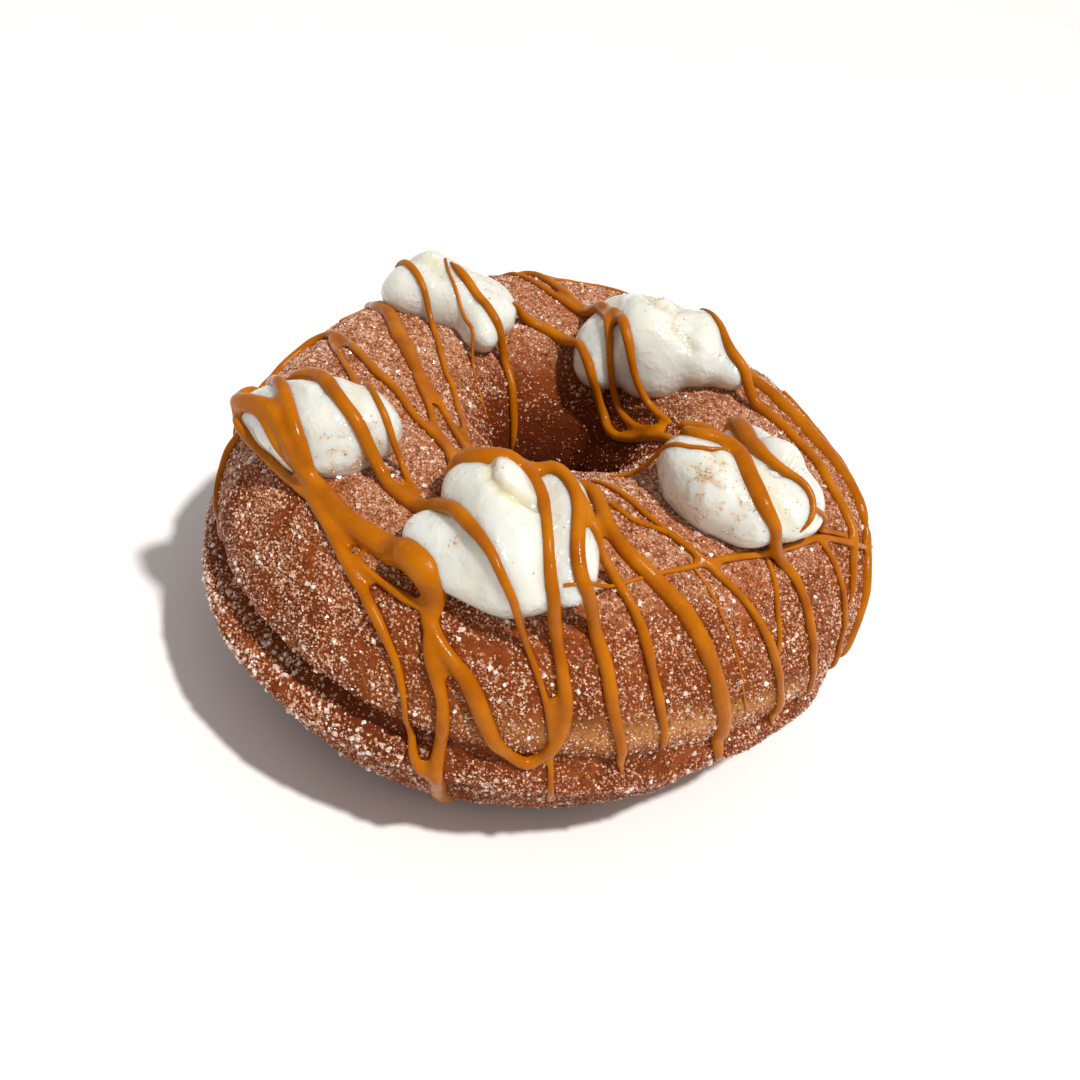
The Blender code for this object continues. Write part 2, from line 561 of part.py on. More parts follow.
def empty_group(group):
    for item in list(group.objects):
        drop_object(item)
    bpy.data.collections.remove(group)


def main():
    clear_scene()
    parts = new_group("churro_doughnut")
    dough = make_dough("sugared_ring", parts)
    creams = {name: make_lobes(name, parts) for name in DOLLOPS}
    trees = {name: surface_tree(item) for name, item in creams.items()}
    laid = {name: lay_strand(route, trees) for name, route in STRANDS.items()}

    # What the dough's caramel keeps clear of: the dollops and the caramel on them, swollen.
    keep_clear = new_group("keep_clear")
    for name, cream in creams.items():
        swollen = new_object(name + "_swollen", cream.data.copy(), keep_clear)
        swell = swollen.modifiers.new("swell", "DISPLACE")
        swell.strength = GAP * MM
        swell.mid_level = 0.0
        apply_modifiers(swollen)
        for strand, (points, radii, under) in laid.items():
            for run_points, run_radii in cream_runs(points, radii, under, name):
                make_tube(name + "_" + strand, run_points, run_radii, keep_clear, GAP)

    # Caramel on the dough: every strand, joined, less what lies on the dollops.
    others = new_group("other_strands")
    caramel = None
    for strand, (points, radii, under) in laid.items():
        tube = make_tube(strand, points, radii, others)
        caramel = caramel or tube
    others.objects.unlink(caramel)
    parts.objects.link(caramel)
    combine(caramel, "UNION", others)
    empty_group(others)
    combine(caramel, "DIFFERENCE", keep_clear)
    empty_group(keep_clear)
    joined = new_group("joined")
    parts.objects.unlink(caramel)
    joined.objects.link(caramel)
    combine(dough, "UNION", joined)
    empty_group(joined)
    keep_largest(dough)
    thin_out(dough, RING_TRIANGLES)

    # Each dollop with its own caramel, cut clear of the dough.
    bed = new_group("bed")
    make_dough("bed", bed, GAP)
    for name, cream in creams.items():
        own = new_group(name + "_caramel")
        for strand, (points, radii, under) in laid.items():
            for run_points, run_radii in cream_runs(points, radii, under, name):
                make_tube(strand, run_points, run_radii, own)
        combine(cream, "UNION", own)
        empty_group(own)
        combine(cream, "DIFFERENCE", bed)
        keep_largest(cream)
        thin_out(cream, DOLLOP_TRIANGLES)
    empty_group(bed)

    for item in [dough, *creams.values()]:
        colour, roughness = COLOURS["sugared_ring" if item is dough else "cream"]
        item.data.materials.clear()
        item.data.materials.append(new_material(item.name, colour, roughness))
        item.data.shade_smooth()
        item.data.set_sharp_from_angle(angle=radians(40))


if __name__ == "__main__":
    main()
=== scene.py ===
"""Churro doughnut: the looks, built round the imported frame.

The dough gets a sugared crust, the dollops their folds, and the caramel is poured over both
in round strands that melt together. Loose sugar and spice are real grains. Sizes in the
tables are millimetres, and a place on the ring is given by its angle round the ring (0 at
+X, anticlockwise from above) and its angle round the section (0 outer waist, 90 crest, 180
hole), both in degrees.
"""

import json
from math import cos, radians, sin

import bmesh
import bpy
import numpy as np
from bpy.props import FloatProperty, FloatVectorProperty, IntProperty, PointerProperty
from mathutils import Matrix, Vector, noise
from mathutils.bvhtree import BVHTree

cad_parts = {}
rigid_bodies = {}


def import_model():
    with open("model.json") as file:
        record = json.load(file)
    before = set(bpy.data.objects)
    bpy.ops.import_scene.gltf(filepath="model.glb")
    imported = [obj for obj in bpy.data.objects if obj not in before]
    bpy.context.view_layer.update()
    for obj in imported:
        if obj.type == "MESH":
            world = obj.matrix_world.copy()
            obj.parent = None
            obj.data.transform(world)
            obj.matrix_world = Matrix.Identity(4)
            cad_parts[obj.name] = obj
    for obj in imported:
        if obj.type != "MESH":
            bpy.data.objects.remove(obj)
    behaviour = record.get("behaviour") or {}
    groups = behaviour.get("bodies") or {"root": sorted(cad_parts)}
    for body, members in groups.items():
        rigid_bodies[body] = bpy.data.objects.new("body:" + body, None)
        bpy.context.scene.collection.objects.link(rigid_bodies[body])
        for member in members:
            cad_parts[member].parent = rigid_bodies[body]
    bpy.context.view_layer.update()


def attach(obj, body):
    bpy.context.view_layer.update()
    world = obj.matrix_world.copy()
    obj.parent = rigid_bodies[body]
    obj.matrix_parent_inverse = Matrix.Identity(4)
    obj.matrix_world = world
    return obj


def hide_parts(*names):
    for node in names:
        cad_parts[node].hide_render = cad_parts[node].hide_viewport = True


bl_info = {
    "name": "Churro Doughnut",
    "version": (1, 0, 0),
    "blender": (4, 5, 0),
    "location": "3D View > Sidebar > Doughnut",
    "description": "Dresses a churro doughnut with sugared crust, cream, caramel and spice",
    "category": "Object",
}

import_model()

MM = 0.001

# Ring of dough.
OUTLINE_WAVES = ((2, -2.0, 0.9), (3, 1.6, -1.0), (4, 1.0, 0.0))  # waves a turn, cosine, sine
HOLE_OFFSET = 2.2  # the hole sits this far back of the middle
RISE_TILT = (1.9, -1.0)  # more rise towards +X and towards -Y
SETTLE = 2.2  # how far the underside is flattened
SQUARENESS = 0.88  # power of the section's sine and cosine: 1 is an ellipse
UNDERCUT = 0.11  # the underside is this much narrower
# Lumps: waves round the ring and round the section, height and phase.
LUMPS = ((5, 1, 0.30, 0.4), (9, 2, 0.22, 2.1), (3, 3, 0.25, 4.0))
CENTRE = (-1.3, -0.2)  # middle of the ring

# Proof line: the groove left where the dough's two fried halves meet.
CREASE_HEIGHT = (-0.5, 6.0, 205.0)  # mean section angle, swing, ring angle of its highest place
CREASE_WIDTH = (2.8, 5.0)  # degrees above it, where the dough hangs over it, and below it
DEEP_PLACE = (237.0, 20.0)  # ring angle and spread
LIP_DROP = 10.0  # the swollen lip is this many degrees under the groove
LIP_WIDTH = 5.5
LIP_SWELL = 1.2  # share by which it is higher at the deepest place
PALE_PLACE = (306.0, 34.0)  # ring angle and spread of the pale band that the oil missed
PALE_RISE = 9.0  # the band is this many degrees above the groove
PALE_WIDTH = 5.5
SHALLOW_SHADE = 0.25  # darkness of the groove's painted shade where it is shallow, against the deepest place
SUGAR_REACH = 1.4  # the lip's sugar and the groove's painted shade spread this much wider than their form

SUGARED_SIDE = (228.0, 46.0)  # ring angle and spread of the side with the most white sugar
HOLE_MIDDLE = 188.0  # section angle in the middle of the hole's wall, which gets painted shade and hardly any sugar
HOLE_SPREAD = 78.0  # the wall ends this far from it
HOLE_FADE = 44.0  # and the wall's painted shade and missing sugar are fullest this many degrees further in

RING_COLUMNS = 480
RING_ROWS = 204
ROW_GATHER = 30.0  # rows are drawn together about the outer waist by this many degrees
TANGENT_STEP = 0.5  # degrees either side of a place, from which its axes are worked out
SWELLS = ((7.0, 0.42), (3.1, 0.20), (1.3, 0.085))  # size of a swelling and its height

# Dollops: the ring and section angle that each sits at, then its lobes. A lobe is an ellipsoid
# in the dollop's own frame: along the ring, outward across it, height of its middle, three radii
# and the turn of the long one.
DOLLOPS = {
    "cream_back_left": (141.0, 88.0, (
        (3.4, 5.2, 1.6, 5.2, 4.5, 4.4, 60),
        (-0.6, 5.4, 3.4, 4.4, 3.8, 4.5, 45),
        (0.8, 1.4, 1.6, 6.6, 4.6, 4.4, 70),
        (-2.0, 0.8, 2.2, 6.4, 4.6, 4.3, -60),
        (-5.0, -3.8, 1.3, 6.4, 4.2, 3.9, -60),
        (0.9, -6.8, 0.9, 5.6, 3.0, 3.6, -62))),
    "cream_back_right": (62.5, 112.0, (
        (0.3, 0.2, 4.6, 7.6, 7.2, 7.0, 45),
        (6.4, -4.4, 2.4, 7.4, 4.6, 4.8, 50),
        (-6.0, 5.4, 2.6, 7.2, 4.4, 4.7, 50),
        (-9.8, 5.8, 0.9, 6.0, 3.4, 3.4, 15),
        (6.6, 2.6, 2.8, 6.4, 4.8, 5.4, 0),
        (-3.4, 2.8, 3.0, 6.0, 4.4, 4.9, 50),
        (-3.0, -2.4, 1.4, 5.2, 4.2, 4.4, -35))),
    "cream_right": (327.0, 86.5, (
        (-6.3, -2.0, 2.8, 7.6, 4.9, 5.4, 98),
        (-1.0, 0.8, 2.4, 8.6, 4.8, 4.4, 115),
        (-4.2, 3.2, 2.2, 5.8, 4.0, 4.4, 100),
        (-3.6, -4.8, 2.4, 5.4, 4.4, 4.6, 60),
        (4.4, 2.4, 2.2, 9.0, 5.0, 4.6, 120),
        (6.6, 4.4, 1.6, 6.2, 3.6, 3.6, 115),
        (6.4, -4.2, 2.0, 5.6, 4.4, 4.2, 110),
        (5.4, 0.6, 6.6, 2.9, 2.0, 1.8, 90))),
    "cream_front": (267.0, 68.5, (
        (-1.3, -1.0, 4.0, 9.8, 6.0, 5.6, 62),
        (-7.3, 1.8, 1.6, 7.0, 4.6, 3.6, 37),
        (1.0, 4.4, 2.2, 6.4, 4.2, 4.2, 0),
        (6.0, -3.4, 3.0, 9.8, 4.2, 4.4, 72),
        (-4.6, -5.9, 3.2, 5.4, 4.5, 4.6, 20),
        (-1.9, -5.2, 8.2, 3.7, 2.4, 2.4, 60))),
    "cream_left": (218.5, 68.0, (
        (-0.8, -0.2, 3.3, 9.4, 6.6, 5.4, -54),
        (2.2, -3.9, 2.0, 6.2, 5.4, 4.2, -60),
        (-6.0, 5.2, 2.0, 5.8, 4.4, 4.0, -50),
        (3.0, 0.4, 1.2, 6.2, 4.8, 4.2, -50))),
}
# Folds drawn on a dollop with the back of the spoon: width, depth and a line in its frame. A
# negative depth is a ridge.
FOLDS = {
    "cream_back_left": (
        (1.3, 0.5, ((2.2, 8.0), (1.4, 4.6), (1.8, 1.6))),
        (1.0, 0.3, ((-2.8, 5.0), (-3.0, 1.8), (-1.8, -2.4), (0.6, -5.2)))),
    "cream_back_right": (
        (1.3, 0.8, ((3.0, 4.6), (0.6, 3.2), (-1.4, 3.4))),
        (0.9, 0.5, ((-2.4, 6.6), (-3.6, 3.6), (-5.6, 1.8), (-8.6, 1.6))),
        (1.4, 0.8, ((8.6, 1.8), (4.8, -0.8), (2.6, -4.4), (0.6, -8.0)))),
    "cream_right": (
        (1.5, 0.7, ((3.1, -6.8), (0.4, -1.6), (-1.6, 3.2), (-1.4, 8.6))),
        (0.9, 0.5, ((-7.6, -5.6), (-6.0, -3.4), (-6.4, -0.8))),
        (0.50, 0.42, ((1.2, 1.6), (3.0, 2.8), (5.0, 2.2))),
        (0.45, 0.36, ((1.0, 3.0), (3.2, 4.2), (5.8, 3.2)))),
    "cream_front": (
        (0.8, 1.1, ((-4.6, -7.6), (-4.2, -5.0), (-2.6, -3.2), (-0.4, -2.5), (2.0, -3.0))),
        (1.4, 0.45, ((3.4, -7.2), (4.4, -3.0), (5.2, 2.2), (5.4, 6.0))),
        (1.6, 0.3, ((-8.6, -3.0), (-5.4, 0.6), (-3.4, 4.8), (-2.6, 8.0)))),
    "cream_left": (
        (0.8, 0.6, ((-6.4, 1.4), (-4.4, -0.6), (-1.8, -2.0), (0.6, -2.2))),
        (0.9, -0.4, ((-5.4, 2.6), (-2.8, 1.0), (-0.4, 0.0))),
        (1.2, 0.4, ((-4.2, -6.8), (0.2, -6.2), (4.2, -4.6)))),
}
FOLD_FACING = 1.6  # a fold is at its full depth where the cream's normal rises more than 1 / this
DIMPLES = ((5.0, 0.38), (2.2, 0.07))  # size of the cream's unevenness and its height
LOBE_SEGMENTS = (48, 32)
MELT_PASSES = 8

# Caramel strands: (ring angle, section angle, width), from where each was poured to its drip.
STRANDS = {
    "back_left_broad": (
        (147, 35, 1.6), (150, 50, 2.0), (153, 58, 2.6), (154, 64, 3.0), (156, 71, 3.0), (162, 83, 3.0),
        (170, 91, 2.8), (177, 96, 2.6), (184, 100, 2.4), (192, 104, 2.1), (199, 108, 1.7), (206, 111, 1.4),
        (213, 112, 1.3), (224, 111, 1.3), (233, 109, 1.4), (240, 105, 1.5), (246, 96, 1.6)),
    "back_left_branch": (
        (186, 99, 1.2), (191, 101, 1.4), (197, 103, 1.4), (204, 105, 1.4), (214, 105, 1.4), (225, 103, 1.4),
        (231, 102, 1.5), (238, 100, 1.6), (244, 94, 1.6)),
    "over_peak": (
        (147, 60, 1.0), (147, 68, 1.2), (149, 74, 1.4), (150, 79, 1.4), (151, 83, 1.3), (152, 88, 1.2),
        (154, 93, 1.2), (162, 103, 1.2), (170, 109, 1.2), (179, 115, 1.2), (190, 120, 1.1), (202, 122, 1.1),
        (216, 119, 1.1), (229, 114, 1.2), (239, 107, 1.3), (245, 99, 1.3)),
    "down_far_wall": (
        (139, 82, 1.4), (140, 87, 1.8), (140, 92, 1.9), (139, 97, 1.9), (139, 102, 1.8), (140, 107, 1.7),
        (140, 112, 1.6), (136, 117, 1.6), (135, 122, 1.6), (134, 130, 1.6), (136, 140, 1.6),
        (138, 150, 1.5), (138, 164, 1.4)),
    "left_long": (
        (194, 18, 1.3), (186, 28, 1.5), (176, 38, 1.6), (169, 48, 1.6), (171, 60, 1.6), (177, 73, 1.6),
        (188, 85, 1.6), (196, 90, 1.6), (202, 94, 1.5), (209, 96, 1.5), (216, 98, 1.4), (223, 100, 1.4),
        (229, 101, 1.4), (235, 100, 1.5), (241, 96, 1.6), (248, 88, 1.8)),
    "left_thin": (
        (171, 56, 1.0), (178, 66, 1.0), (186, 74, 1.1), (194, 81, 1.4), (204, 84, 1.4), (214, 83, 1.3),
        (222, 82, 1.2), (227, 82, 1.2), (231, 82, 1.2), (235, 83, 1.1), (239, 81, 1.1), (243, 79, 1.1),
        (246, 77, 1.4)),
    "left_middle": (
        (205, 60, 1.6), (208, 66, 1.9), (211, 70, 2.1), (214, 72, 2.3), (218, 73, 2.3), (222, 73, 2.2),
        (226, 74, 2.0), (230, 75, 1.9), (234, 76, 1.9), (238, 75, 2.0), (242, 74, 2.2), (246, 75, 2.5),
        (249, 74, 2.5), (252, 72, 2.4), (255, 71, 2.2), (259, 67, 2.0), (262, 64, 1.9), (265, 60, 1.7),
        (267, 56, 1.5), (270, 51, 1.3), (272, 46, 1.1), (275, 37, 1.1), (278, 26, 1.1), (280, 14, 1.0),
        (282, 2, 1.0), (283, -9, 1.1), (285, -24, 1.2)),
    "left_second": (
        (196, 46, 1.5), (203, 55, 1.8), (209, 61, 2.0), (213, 62, 2.1), (217, 62, 2.2), (221, 61, 2.3),
        (224, 60, 2.3), (228, 58, 2.6)),
    "left_sheet": (
        (201, 40, 1.8), (206, 45, 2.1), (210, 50, 2.5), (213, 54, 2.6), (216, 57, 2.6), (219, 58, 2.6),
        (222, 58, 2.6), (226, 56, 2.8), (229, 57, 3.1), (233, 57, 3.4), (238, 56, 3.4), (242, 56, 3.3),
        (246, 56.5, 3.7), (250, 57, 4.1), (253, 56.5, 4.6), (256, 55, 4.6), (258, 52, 4.0), (259, 47, 3.1),
        (260, 41, 2.6)),
    "left_sheet_edge": (
        (209, 46, 1.6), (212, 51, 1.8), (215, 54, 1.8), (218, 55, 1.8), (221, 54, 1.8), (225, 54, 1.9)),
    "left_skirt": (
        (210, 45, 1.7), (212, 46, 1.9), (214, 46, 2.0), (218, 48, 2.0), (222, 50, 2.0), (226, 52, 2.0),
        (230, 52, 1.9)),
    "left_back": ((210, 45, 1.7), (208, 49, 1.8), (205, 53, 1.8), (201, 54, 1.7), (196, 50, 1.6)),
    "left_edge": ((200, 38, 1.6), (200, 22, 1.6), (203, 10, 1.5), (210, 6, 1.5), (217, 8, 1.4)),
    "front_left_long": (
        (225, 54, 1.8), (231, 53, 1.9), (237, 51, 1.8), (241, 48, 1.7), (245, 44, 1.7), (249, 40, 1.7),
        (253, 34, 1.6), (256, 28, 1.4), (258, 22, 1.2), (260, 14, 1.0), (261, 4, 1.0), (263, -3, 1.4),
        (266, -10, 1.9)),
    "front_link": ((242, 48, 1.3), (246, 47, 1.2), (250, 46, 1.2), (254, 45, 1.5), (258, 44, 2.0)),
    "front_loop": (
        (257, 48, 2.6), (259, 41, 2.4), (261, 36, 2.2), (264, 32, 2.0), (267, 27, 2.2), (269, 21, 2.5),
        (271, 13, 2.4), (273, 6, 2.3), (276, 1, 2.1), (279, -2, 2.0), (281, 1, 2.2), (282, 10, 2.3),
        (282, 20, 2.1), (280, 32, 2.0), (278, 43, 1.9), (276, 51, 1.9), (274, 57, 1.9), (273, 63, 1.9),
        (272, 68, 1.8), (271, 74, 1.8), (270, 78, 2.0), (268, 82, 2.1), (265, 85, 2.1), (261, 85, 2.0)),
    "front_drip": (
        (259, 42, 1.4), (260, 37, 2.0), (261, 31, 2.2), (263, 25, 2.1), (265, 18, 1.9), (266, 8, 1.9),
        (266, -2, 2.2), (267, -13, 2.8), (267, -24, 2.9), (268, -34, 2.7), (269, -44, 2.0),
        (270, -54, 1.0)),
    "front_second": (
        (243, 92, 1.7), (246, 89, 2.5), (249, 86, 3.2), (252, 84, 3.7), (256, 83, 3.9), (259, 84, 3.8),
        (262, 85, 3.5), (265, 87, 3.0), (268, 88, 2.5), (271, 89, 2.3), (274, 86, 2.3), (276, 81, 2.2),
        (277, 76, 2.2), (277, 71, 2.2), (277, 65, 2.2), (278, 58, 2.2), (282, 54, 2.1), (284, 45, 2.1),
        (287, 34, 2.0), (288, 23, 1.9), (290, 14, 1.9), (293, 0, 1.6), (294, -5, 1.0)),
    "front_third": (
        (265, 94, 1.3), (269, 91, 1.4), (272, 88, 1.4), (275, 84, 1.4), (278, 79, 1.4), (280, 73, 1.5),
        (282, 68, 1.5), (286, 67, 1.5), (289, 60, 1.5), (292, 48, 1.6), (294, 34, 1.6), (297, 18, 1.5),
        (300, 0, 1.3)),
    "front_fourth": (
        (268, 96, 1.8), (273, 100, 2.0), (279, 104, 2.2), (284, 104, 2.3), (286, 97, 2.4), (286, 90, 2.4),
        (287, 83, 2.5), (289, 76, 2.7), (294, 66, 2.7), (300, 55, 2.7), (304, 38, 2.7), (307, 24, 2.6),
        (311, 6, 2.5), (314, -12, 1.5)),
    "front_fourth_ridge": ((271, 96, 1.0), (276, 95, 1.2), (280, 91, 1.2), (283, 86, 1.2), (285, 80, 1.2)),
    "front_fifth": (
        (284, 112, 1.0), (290, 107, 1.0), (296, 94, 1.1), (302, 80, 1.2), (308, 64, 1.3), (314, 50, 1.4),
        (318, 32, 1.4), (321, 16, 1.5), (325, 2, 1.6), (327, -9, 1.2)),
    "cross": (
        (298, 66, 0.9), (306, 66, 1.1), (312, 66, 1.3), (316, 65, 1.3), (321, 63, 1.3), (327, 63, 1.3),
        (332, 61, 1.3), (337, 61, 1.3), (341, 57, 1.3), (346, 50, 1.3), (353, 37, 1.3), (1, 26, 1.2)),
    "right_second": (
        (338, 60, 1.1), (340, 46, 1.2), (340, 36, 1.2), (340, 22, 1.1), (341, 8, 1.1), (343, -3, 1.0)),
    "right_edge": (
        (358, 42, 2.2), (355, 32, 2.2), (351, 26, 2.2), (348, 16, 2.1), (347, 5, 1.9), (347, -4, 1.4)),
    "over_right": (
        (126, 103, 1.5), (118, 104, 1.7), (111, 108, 1.9), (105, 112, 2.0), (99, 120, 2.0), (91, 128, 1.9),
        (82, 132, 1.8), (75, 136, 1.7), (69, 143, 1.6), (60, 149, 1.6), (48, 150, 1.7), (34, 146, 1.9),
        (20, 138, 1.9), (8, 130, 1.8), (350, 120, 1.7), (334, 113, 1.7), (323, 106, 1.7), (316, 100, 1.8),
        (317, 97, 2.0), (321, 95, 2.3), (324, 93, 2.7), (324, 89, 3.0), (321, 85, 3.1), (319, 79, 3.1),
        (318, 74, 2.7), (318, 70, 2.3), (321, 65, 2.0), (325, 60, 1.7), (327, 51, 1.6), (328, 38, 1.6),
        (329, 24, 1.6), (331, 12, 1.5), (335, -6, 1.0)),
    "over_right_second": (
        (17, 126, 1.7), (11, 118, 1.9), (5, 111, 2.1), (359, 105, 2.3), (350, 102, 2.8), (343, 99, 3.2),
        (337, 94, 3.3), (333, 90, 2.8), (330, 86, 2.1), (331, 81, 1.6), (332, 76, 1.4), (332, 71, 1.3),
        (330, 66, 1.3), (326, 64, 1.3)),
    "over_right_thin": (
        (293, 114, 0.8), (300, 117, 0.9), (306, 111, 0.9), (309, 104, 0.9), (308, 98, 0.9), (311, 94, 0.9),
        (315, 91, 1.0), (320, 90, 1.1)),
    "right_rim_inner": (
        (60, 90, 0.8), (54, 93, 0.8), (48, 95, 1.0), (44, 94, 1.3), (40, 95, 1.8), (34, 96, 2.1),
        (28, 93, 2.1), (20, 88, 2.1), (12, 82, 2.1), (5, 76, 2.0), (358, 71, 2.0), (354, 61, 1.9),
        (350, 50, 1.8), (346, 40, 1.6), (344, 32, 1.4), (342, 26, 1.1)),
    "right_rim_outer": (
        (43, 84, 2.0), (37, 80, 2.6), (30, 77, 2.9), (22, 73, 3.0), (16, 67, 3.0), (11, 60, 2.9),
        (5, 54, 2.7), (0, 48, 2.4), (357, 40, 2.2)),
    "back_long": (
        (112, 55, 1.4), (108, 62, 1.6), (105, 74, 1.6), (102, 84, 1.7), (100, 90, 1.9), (95, 96, 2.2),
        (90, 105, 2.2), (85, 111, 2.1), (76, 116, 2.0), (64, 120, 1.8), (57, 122, 1.7), (52, 125, 1.5),
        (48, 128, 1.4), (41, 130, 1.4), (30, 129, 1.5), (20, 126, 1.7)),
    "back_second": (
        (115, 57, 1.2), (111, 70, 1.3), (108, 82, 1.4), (104, 90, 1.6), (99, 95, 1.8), (93, 101, 1.8),
        (87, 112, 1.7), (79, 120, 1.5), (72, 125, 1.3), (68, 129, 1.3), (65, 134, 1.3), (60, 139, 1.3),
        (50, 141, 1.5), (38, 141, 1.7), (26, 137, 1.8), (16, 129, 1.9)),
    "back_edge": (
        (114, 64, 1.0), (108, 58, 1.1), (100, 58, 1.1), (90, 60, 1.1), (82, 65, 1.1), (77, 74, 1.0)),
}
# Threads too thin to be solids: the hair-fine runs between and beside the strands.
THREADS = {
    "thread_far_left": (
        (140, 81, 0.5), (142, 85, 0.5), (145, 91, 0.6), (146, 97, 0.6), (148, 102, 0.6), (150, 107, 0.55),
        (152, 115, 0.5), (158, 126, 0.45), (164, 142, 0.25)),
    "thread_front_link": (
        (276, 57, 0.5), (280, 58, 0.5), (286, 62, 0.5), (292, 65, 0.55), (298, 66, 0.8), (305, 66, 0.8)),
    "thread_front": ((304, 68, 0.5), (308, 48, 0.45), (311, 31, 0.45), (312, 20, 0.4), (317, 1, 0.35)),
    "thread_join": ((289, 94, 0.8), (294, 88, 0.85), (299, 83, 0.9), (302, 80, 0.9)),
    "thread_right_first": ((322, 64, 0.8), (321, 46, 0.8), (320, 26, 0.8)),
    "thread_right_second": ((331, 68, 0.8), (336, 64, 0.9), (343, 59, 0.9), (347, 51, 0.9)),
    "thread_rim": ((36, 60, 0.8), (26, 55, 0.9), (18, 52, 0.9), (10, 47, 0.9), (3, 44, 0.8)),
    "thread_left": ((160, 46, 0.7), (150, 50, 0.7)),
}
THREAD_SIDES = 8
ROUTE_SPAN = 20  # places worked out between two points of a route, before they are spaced evenly
STRAND_STEP = 0.7  # length between points along a strand
EASING = 2  # passes that round off the corners of a route
SAG = 0.15  # how fast a free stretch sags, per millimetre
SETTLING = 400  # passes that let the strands settle
BEAD_BASE = 0.85  # a bead stands at most this much, plus a share of its width, off its bed
BEAD_SHARE = 0.20
BEAD_MOST = 0.72  # and at most this share of its width
DRIP_TAPER = 2.6  # the stretch at each end of a strand, over which it runs to a tip
DRIP_TIP = 0.32  # width of the tip as a share of the strand's
DRIP_ROUND = 0.7  # power of the taper: lower is blunter
DRAPE_REACH = 30.0  # strands are laid on the cream from this height
DOUGH_REACH = 5.0  # and on the dough from this height
UNEVENNESS = (5.0, 0.09)  # length of a swelling along a strand, and its share of the width

# Grains: shape, size and its spread, grains on a square millimetre, where, two colours and seed.
GRAINS = {
    "sugar_coarse": ("block", 0.48, 0.35, 1.1, "on_lip", (0.52, 0.33, 0.24), (0.93, 0.80, 0.72), 11),
    "sugar_white": ("chip", 0.31, 0.40, 2.9, "on_side", (0.46, 0.20, 0.10), (0.88, 0.67, 0.53), 12),
    "sugar_tan": ("chip", 0.36, 0.35, 2.6, "all_over", (0.30, 0.080, 0.022), (0.64, 0.33, 0.19), 13),
    "sugar_amber": ("chip", 0.34, 0.35, 1.3, "on_crust", (0.22, 0.043, 0.007), (0.43, 0.125, 0.032), 14),
    "sugar_fine": ("sliver", 0.34, 0.35, 8.0, "on_crown", (0.46, 0.195, 0.092), (0.78, 0.52, 0.37), 16),
    "cinnamon_dust": ("sliver", 0.32, 0.40, 1.2, "on_crust", (0.18, 0.04, 0.008), (0.38, 0.115, 0.032), 15),
    "cream_spice": ("chip", 0.15, 0.60, 4.4, "specks", (0.20, 0.060, 0.016), (0.60, 0.32, 0.15), 21),
    "cream_sugar": ("chip", 0.22, 0.45, 5.0, "specks", (0.62, 0.38, 0.20), (0.88, 0.68, 0.48), 22),
}
GRAIN_STRETCH = ((0.75, 0.75, 0.75), (1.25, 1.25, 1.25))  # least and most of its sides
GRAIN_TURN = ((0.0, 0.0, 0.0), (6.283, 6.283, 6.283))  # and of its turns, in radians
GRAIN_STAND = 0.05  # a grain's middle stands this share of its size off what it lies on
FACET_RADIUS = 0.62  # radius of a chip or sliver against its size
CHIP_LEAN = 0.25
SLIVER_LENGTH = 0.8
BLOCK_LEAN, BLOCK_WIDTH, BLOCK_TOP = 0.22, 0.85, 0.8

# Where the sugar lies: the share of a kind that lies everywhere, and what each feature adds.
SUGARED = {
    "all_over": (0.6, {"crest": 0.35, "lip": 0.4}),
    "on_lip": (0.12, {"lip": 1.0}),
    "on_side": (0.34, {"flank": 0.5, "lip": 0.3}),
    "on_crown": (0.25, {"crown": 0.75, "pale": 0.3}),
}
SUGAR_LOST = {"groove": 0.75, "hole": 0.98}  # share of the sugar that is missing there
CRUST_LOST = {"groove": 0.8, "pale": 0.9, "hole": 0.6}  # and of the darker grains
FLANK_CREST = 0.5  # share of the white sugar that is missing from the flank's crest
PATCH = 5.0  # size of the patches where the sugar lies thicker
PATCHINESS = (0.75, 1.1, 0.25)  # their mean, swing and least
COVER_REACH = 20.0  # how high over the dough something that covers it can reach
UNDERSIDE = (-0.4, 0.3)  # normals that rise less than this get this share of the grains
TABLE_GAP = 0.9  # and none lie lower than this

# Spice fallen on the cream: places in a dollop's own frame, their spread and how thick it lies.
SPECKS = {
    "cream_right": (
        (-8.5, 0.0, 2.6, 1.0), (-7.4, 3.4, 2.2, 0.7), (-4.0, 6.0, 2.4, 0.5), (2.0, 6.0, 2.0, 0.2)),
    "cream_left": (
        (9.7, -0.6, 2.4, 1.0), (9.4, 3.4, 2.2, 0.7), (9.0, -4.4, 2.2, 0.7), (-0.6, 0.4, 1.0, 0.7)),
    "cream_back_left": ((1.0, 2.0, 2.0, 0.25), (-3.0, -4.0, 2.4, 0.3)),
    "cream_back_right": ((5.6, 6.0, 2.4, 0.4), (-2.0, 5.0, 3.0, 0.3)),
    "cream_front": ((-8.0, 3.0, 2.0, 0.2),),
}
CLUMP = 1.3  # size of the clumps it falls in
CLUMPINESS = (0.15, 3.0, 0.04, 1.5)  # their mean, swing, least and most
STRAY_SPICE = 0.006  # how thick it lies everywhere else
SPICE_HEIGHT = 0.8  # and none lies lower than this on a dollop

# Colours outside the settings.
POWDER_COLOUR = (0.64, 0.40, 0.21)  # the finest spice on the cream
FLECK_COLOUR = (0.66, 0.30, 0.05)  # sugar seen in the caramel
FLOOR_CLOUD_COLOUR = (1.0, 1.0, 1.0)
ROOM_COLOUR = (1.0, 0.985, 0.97)

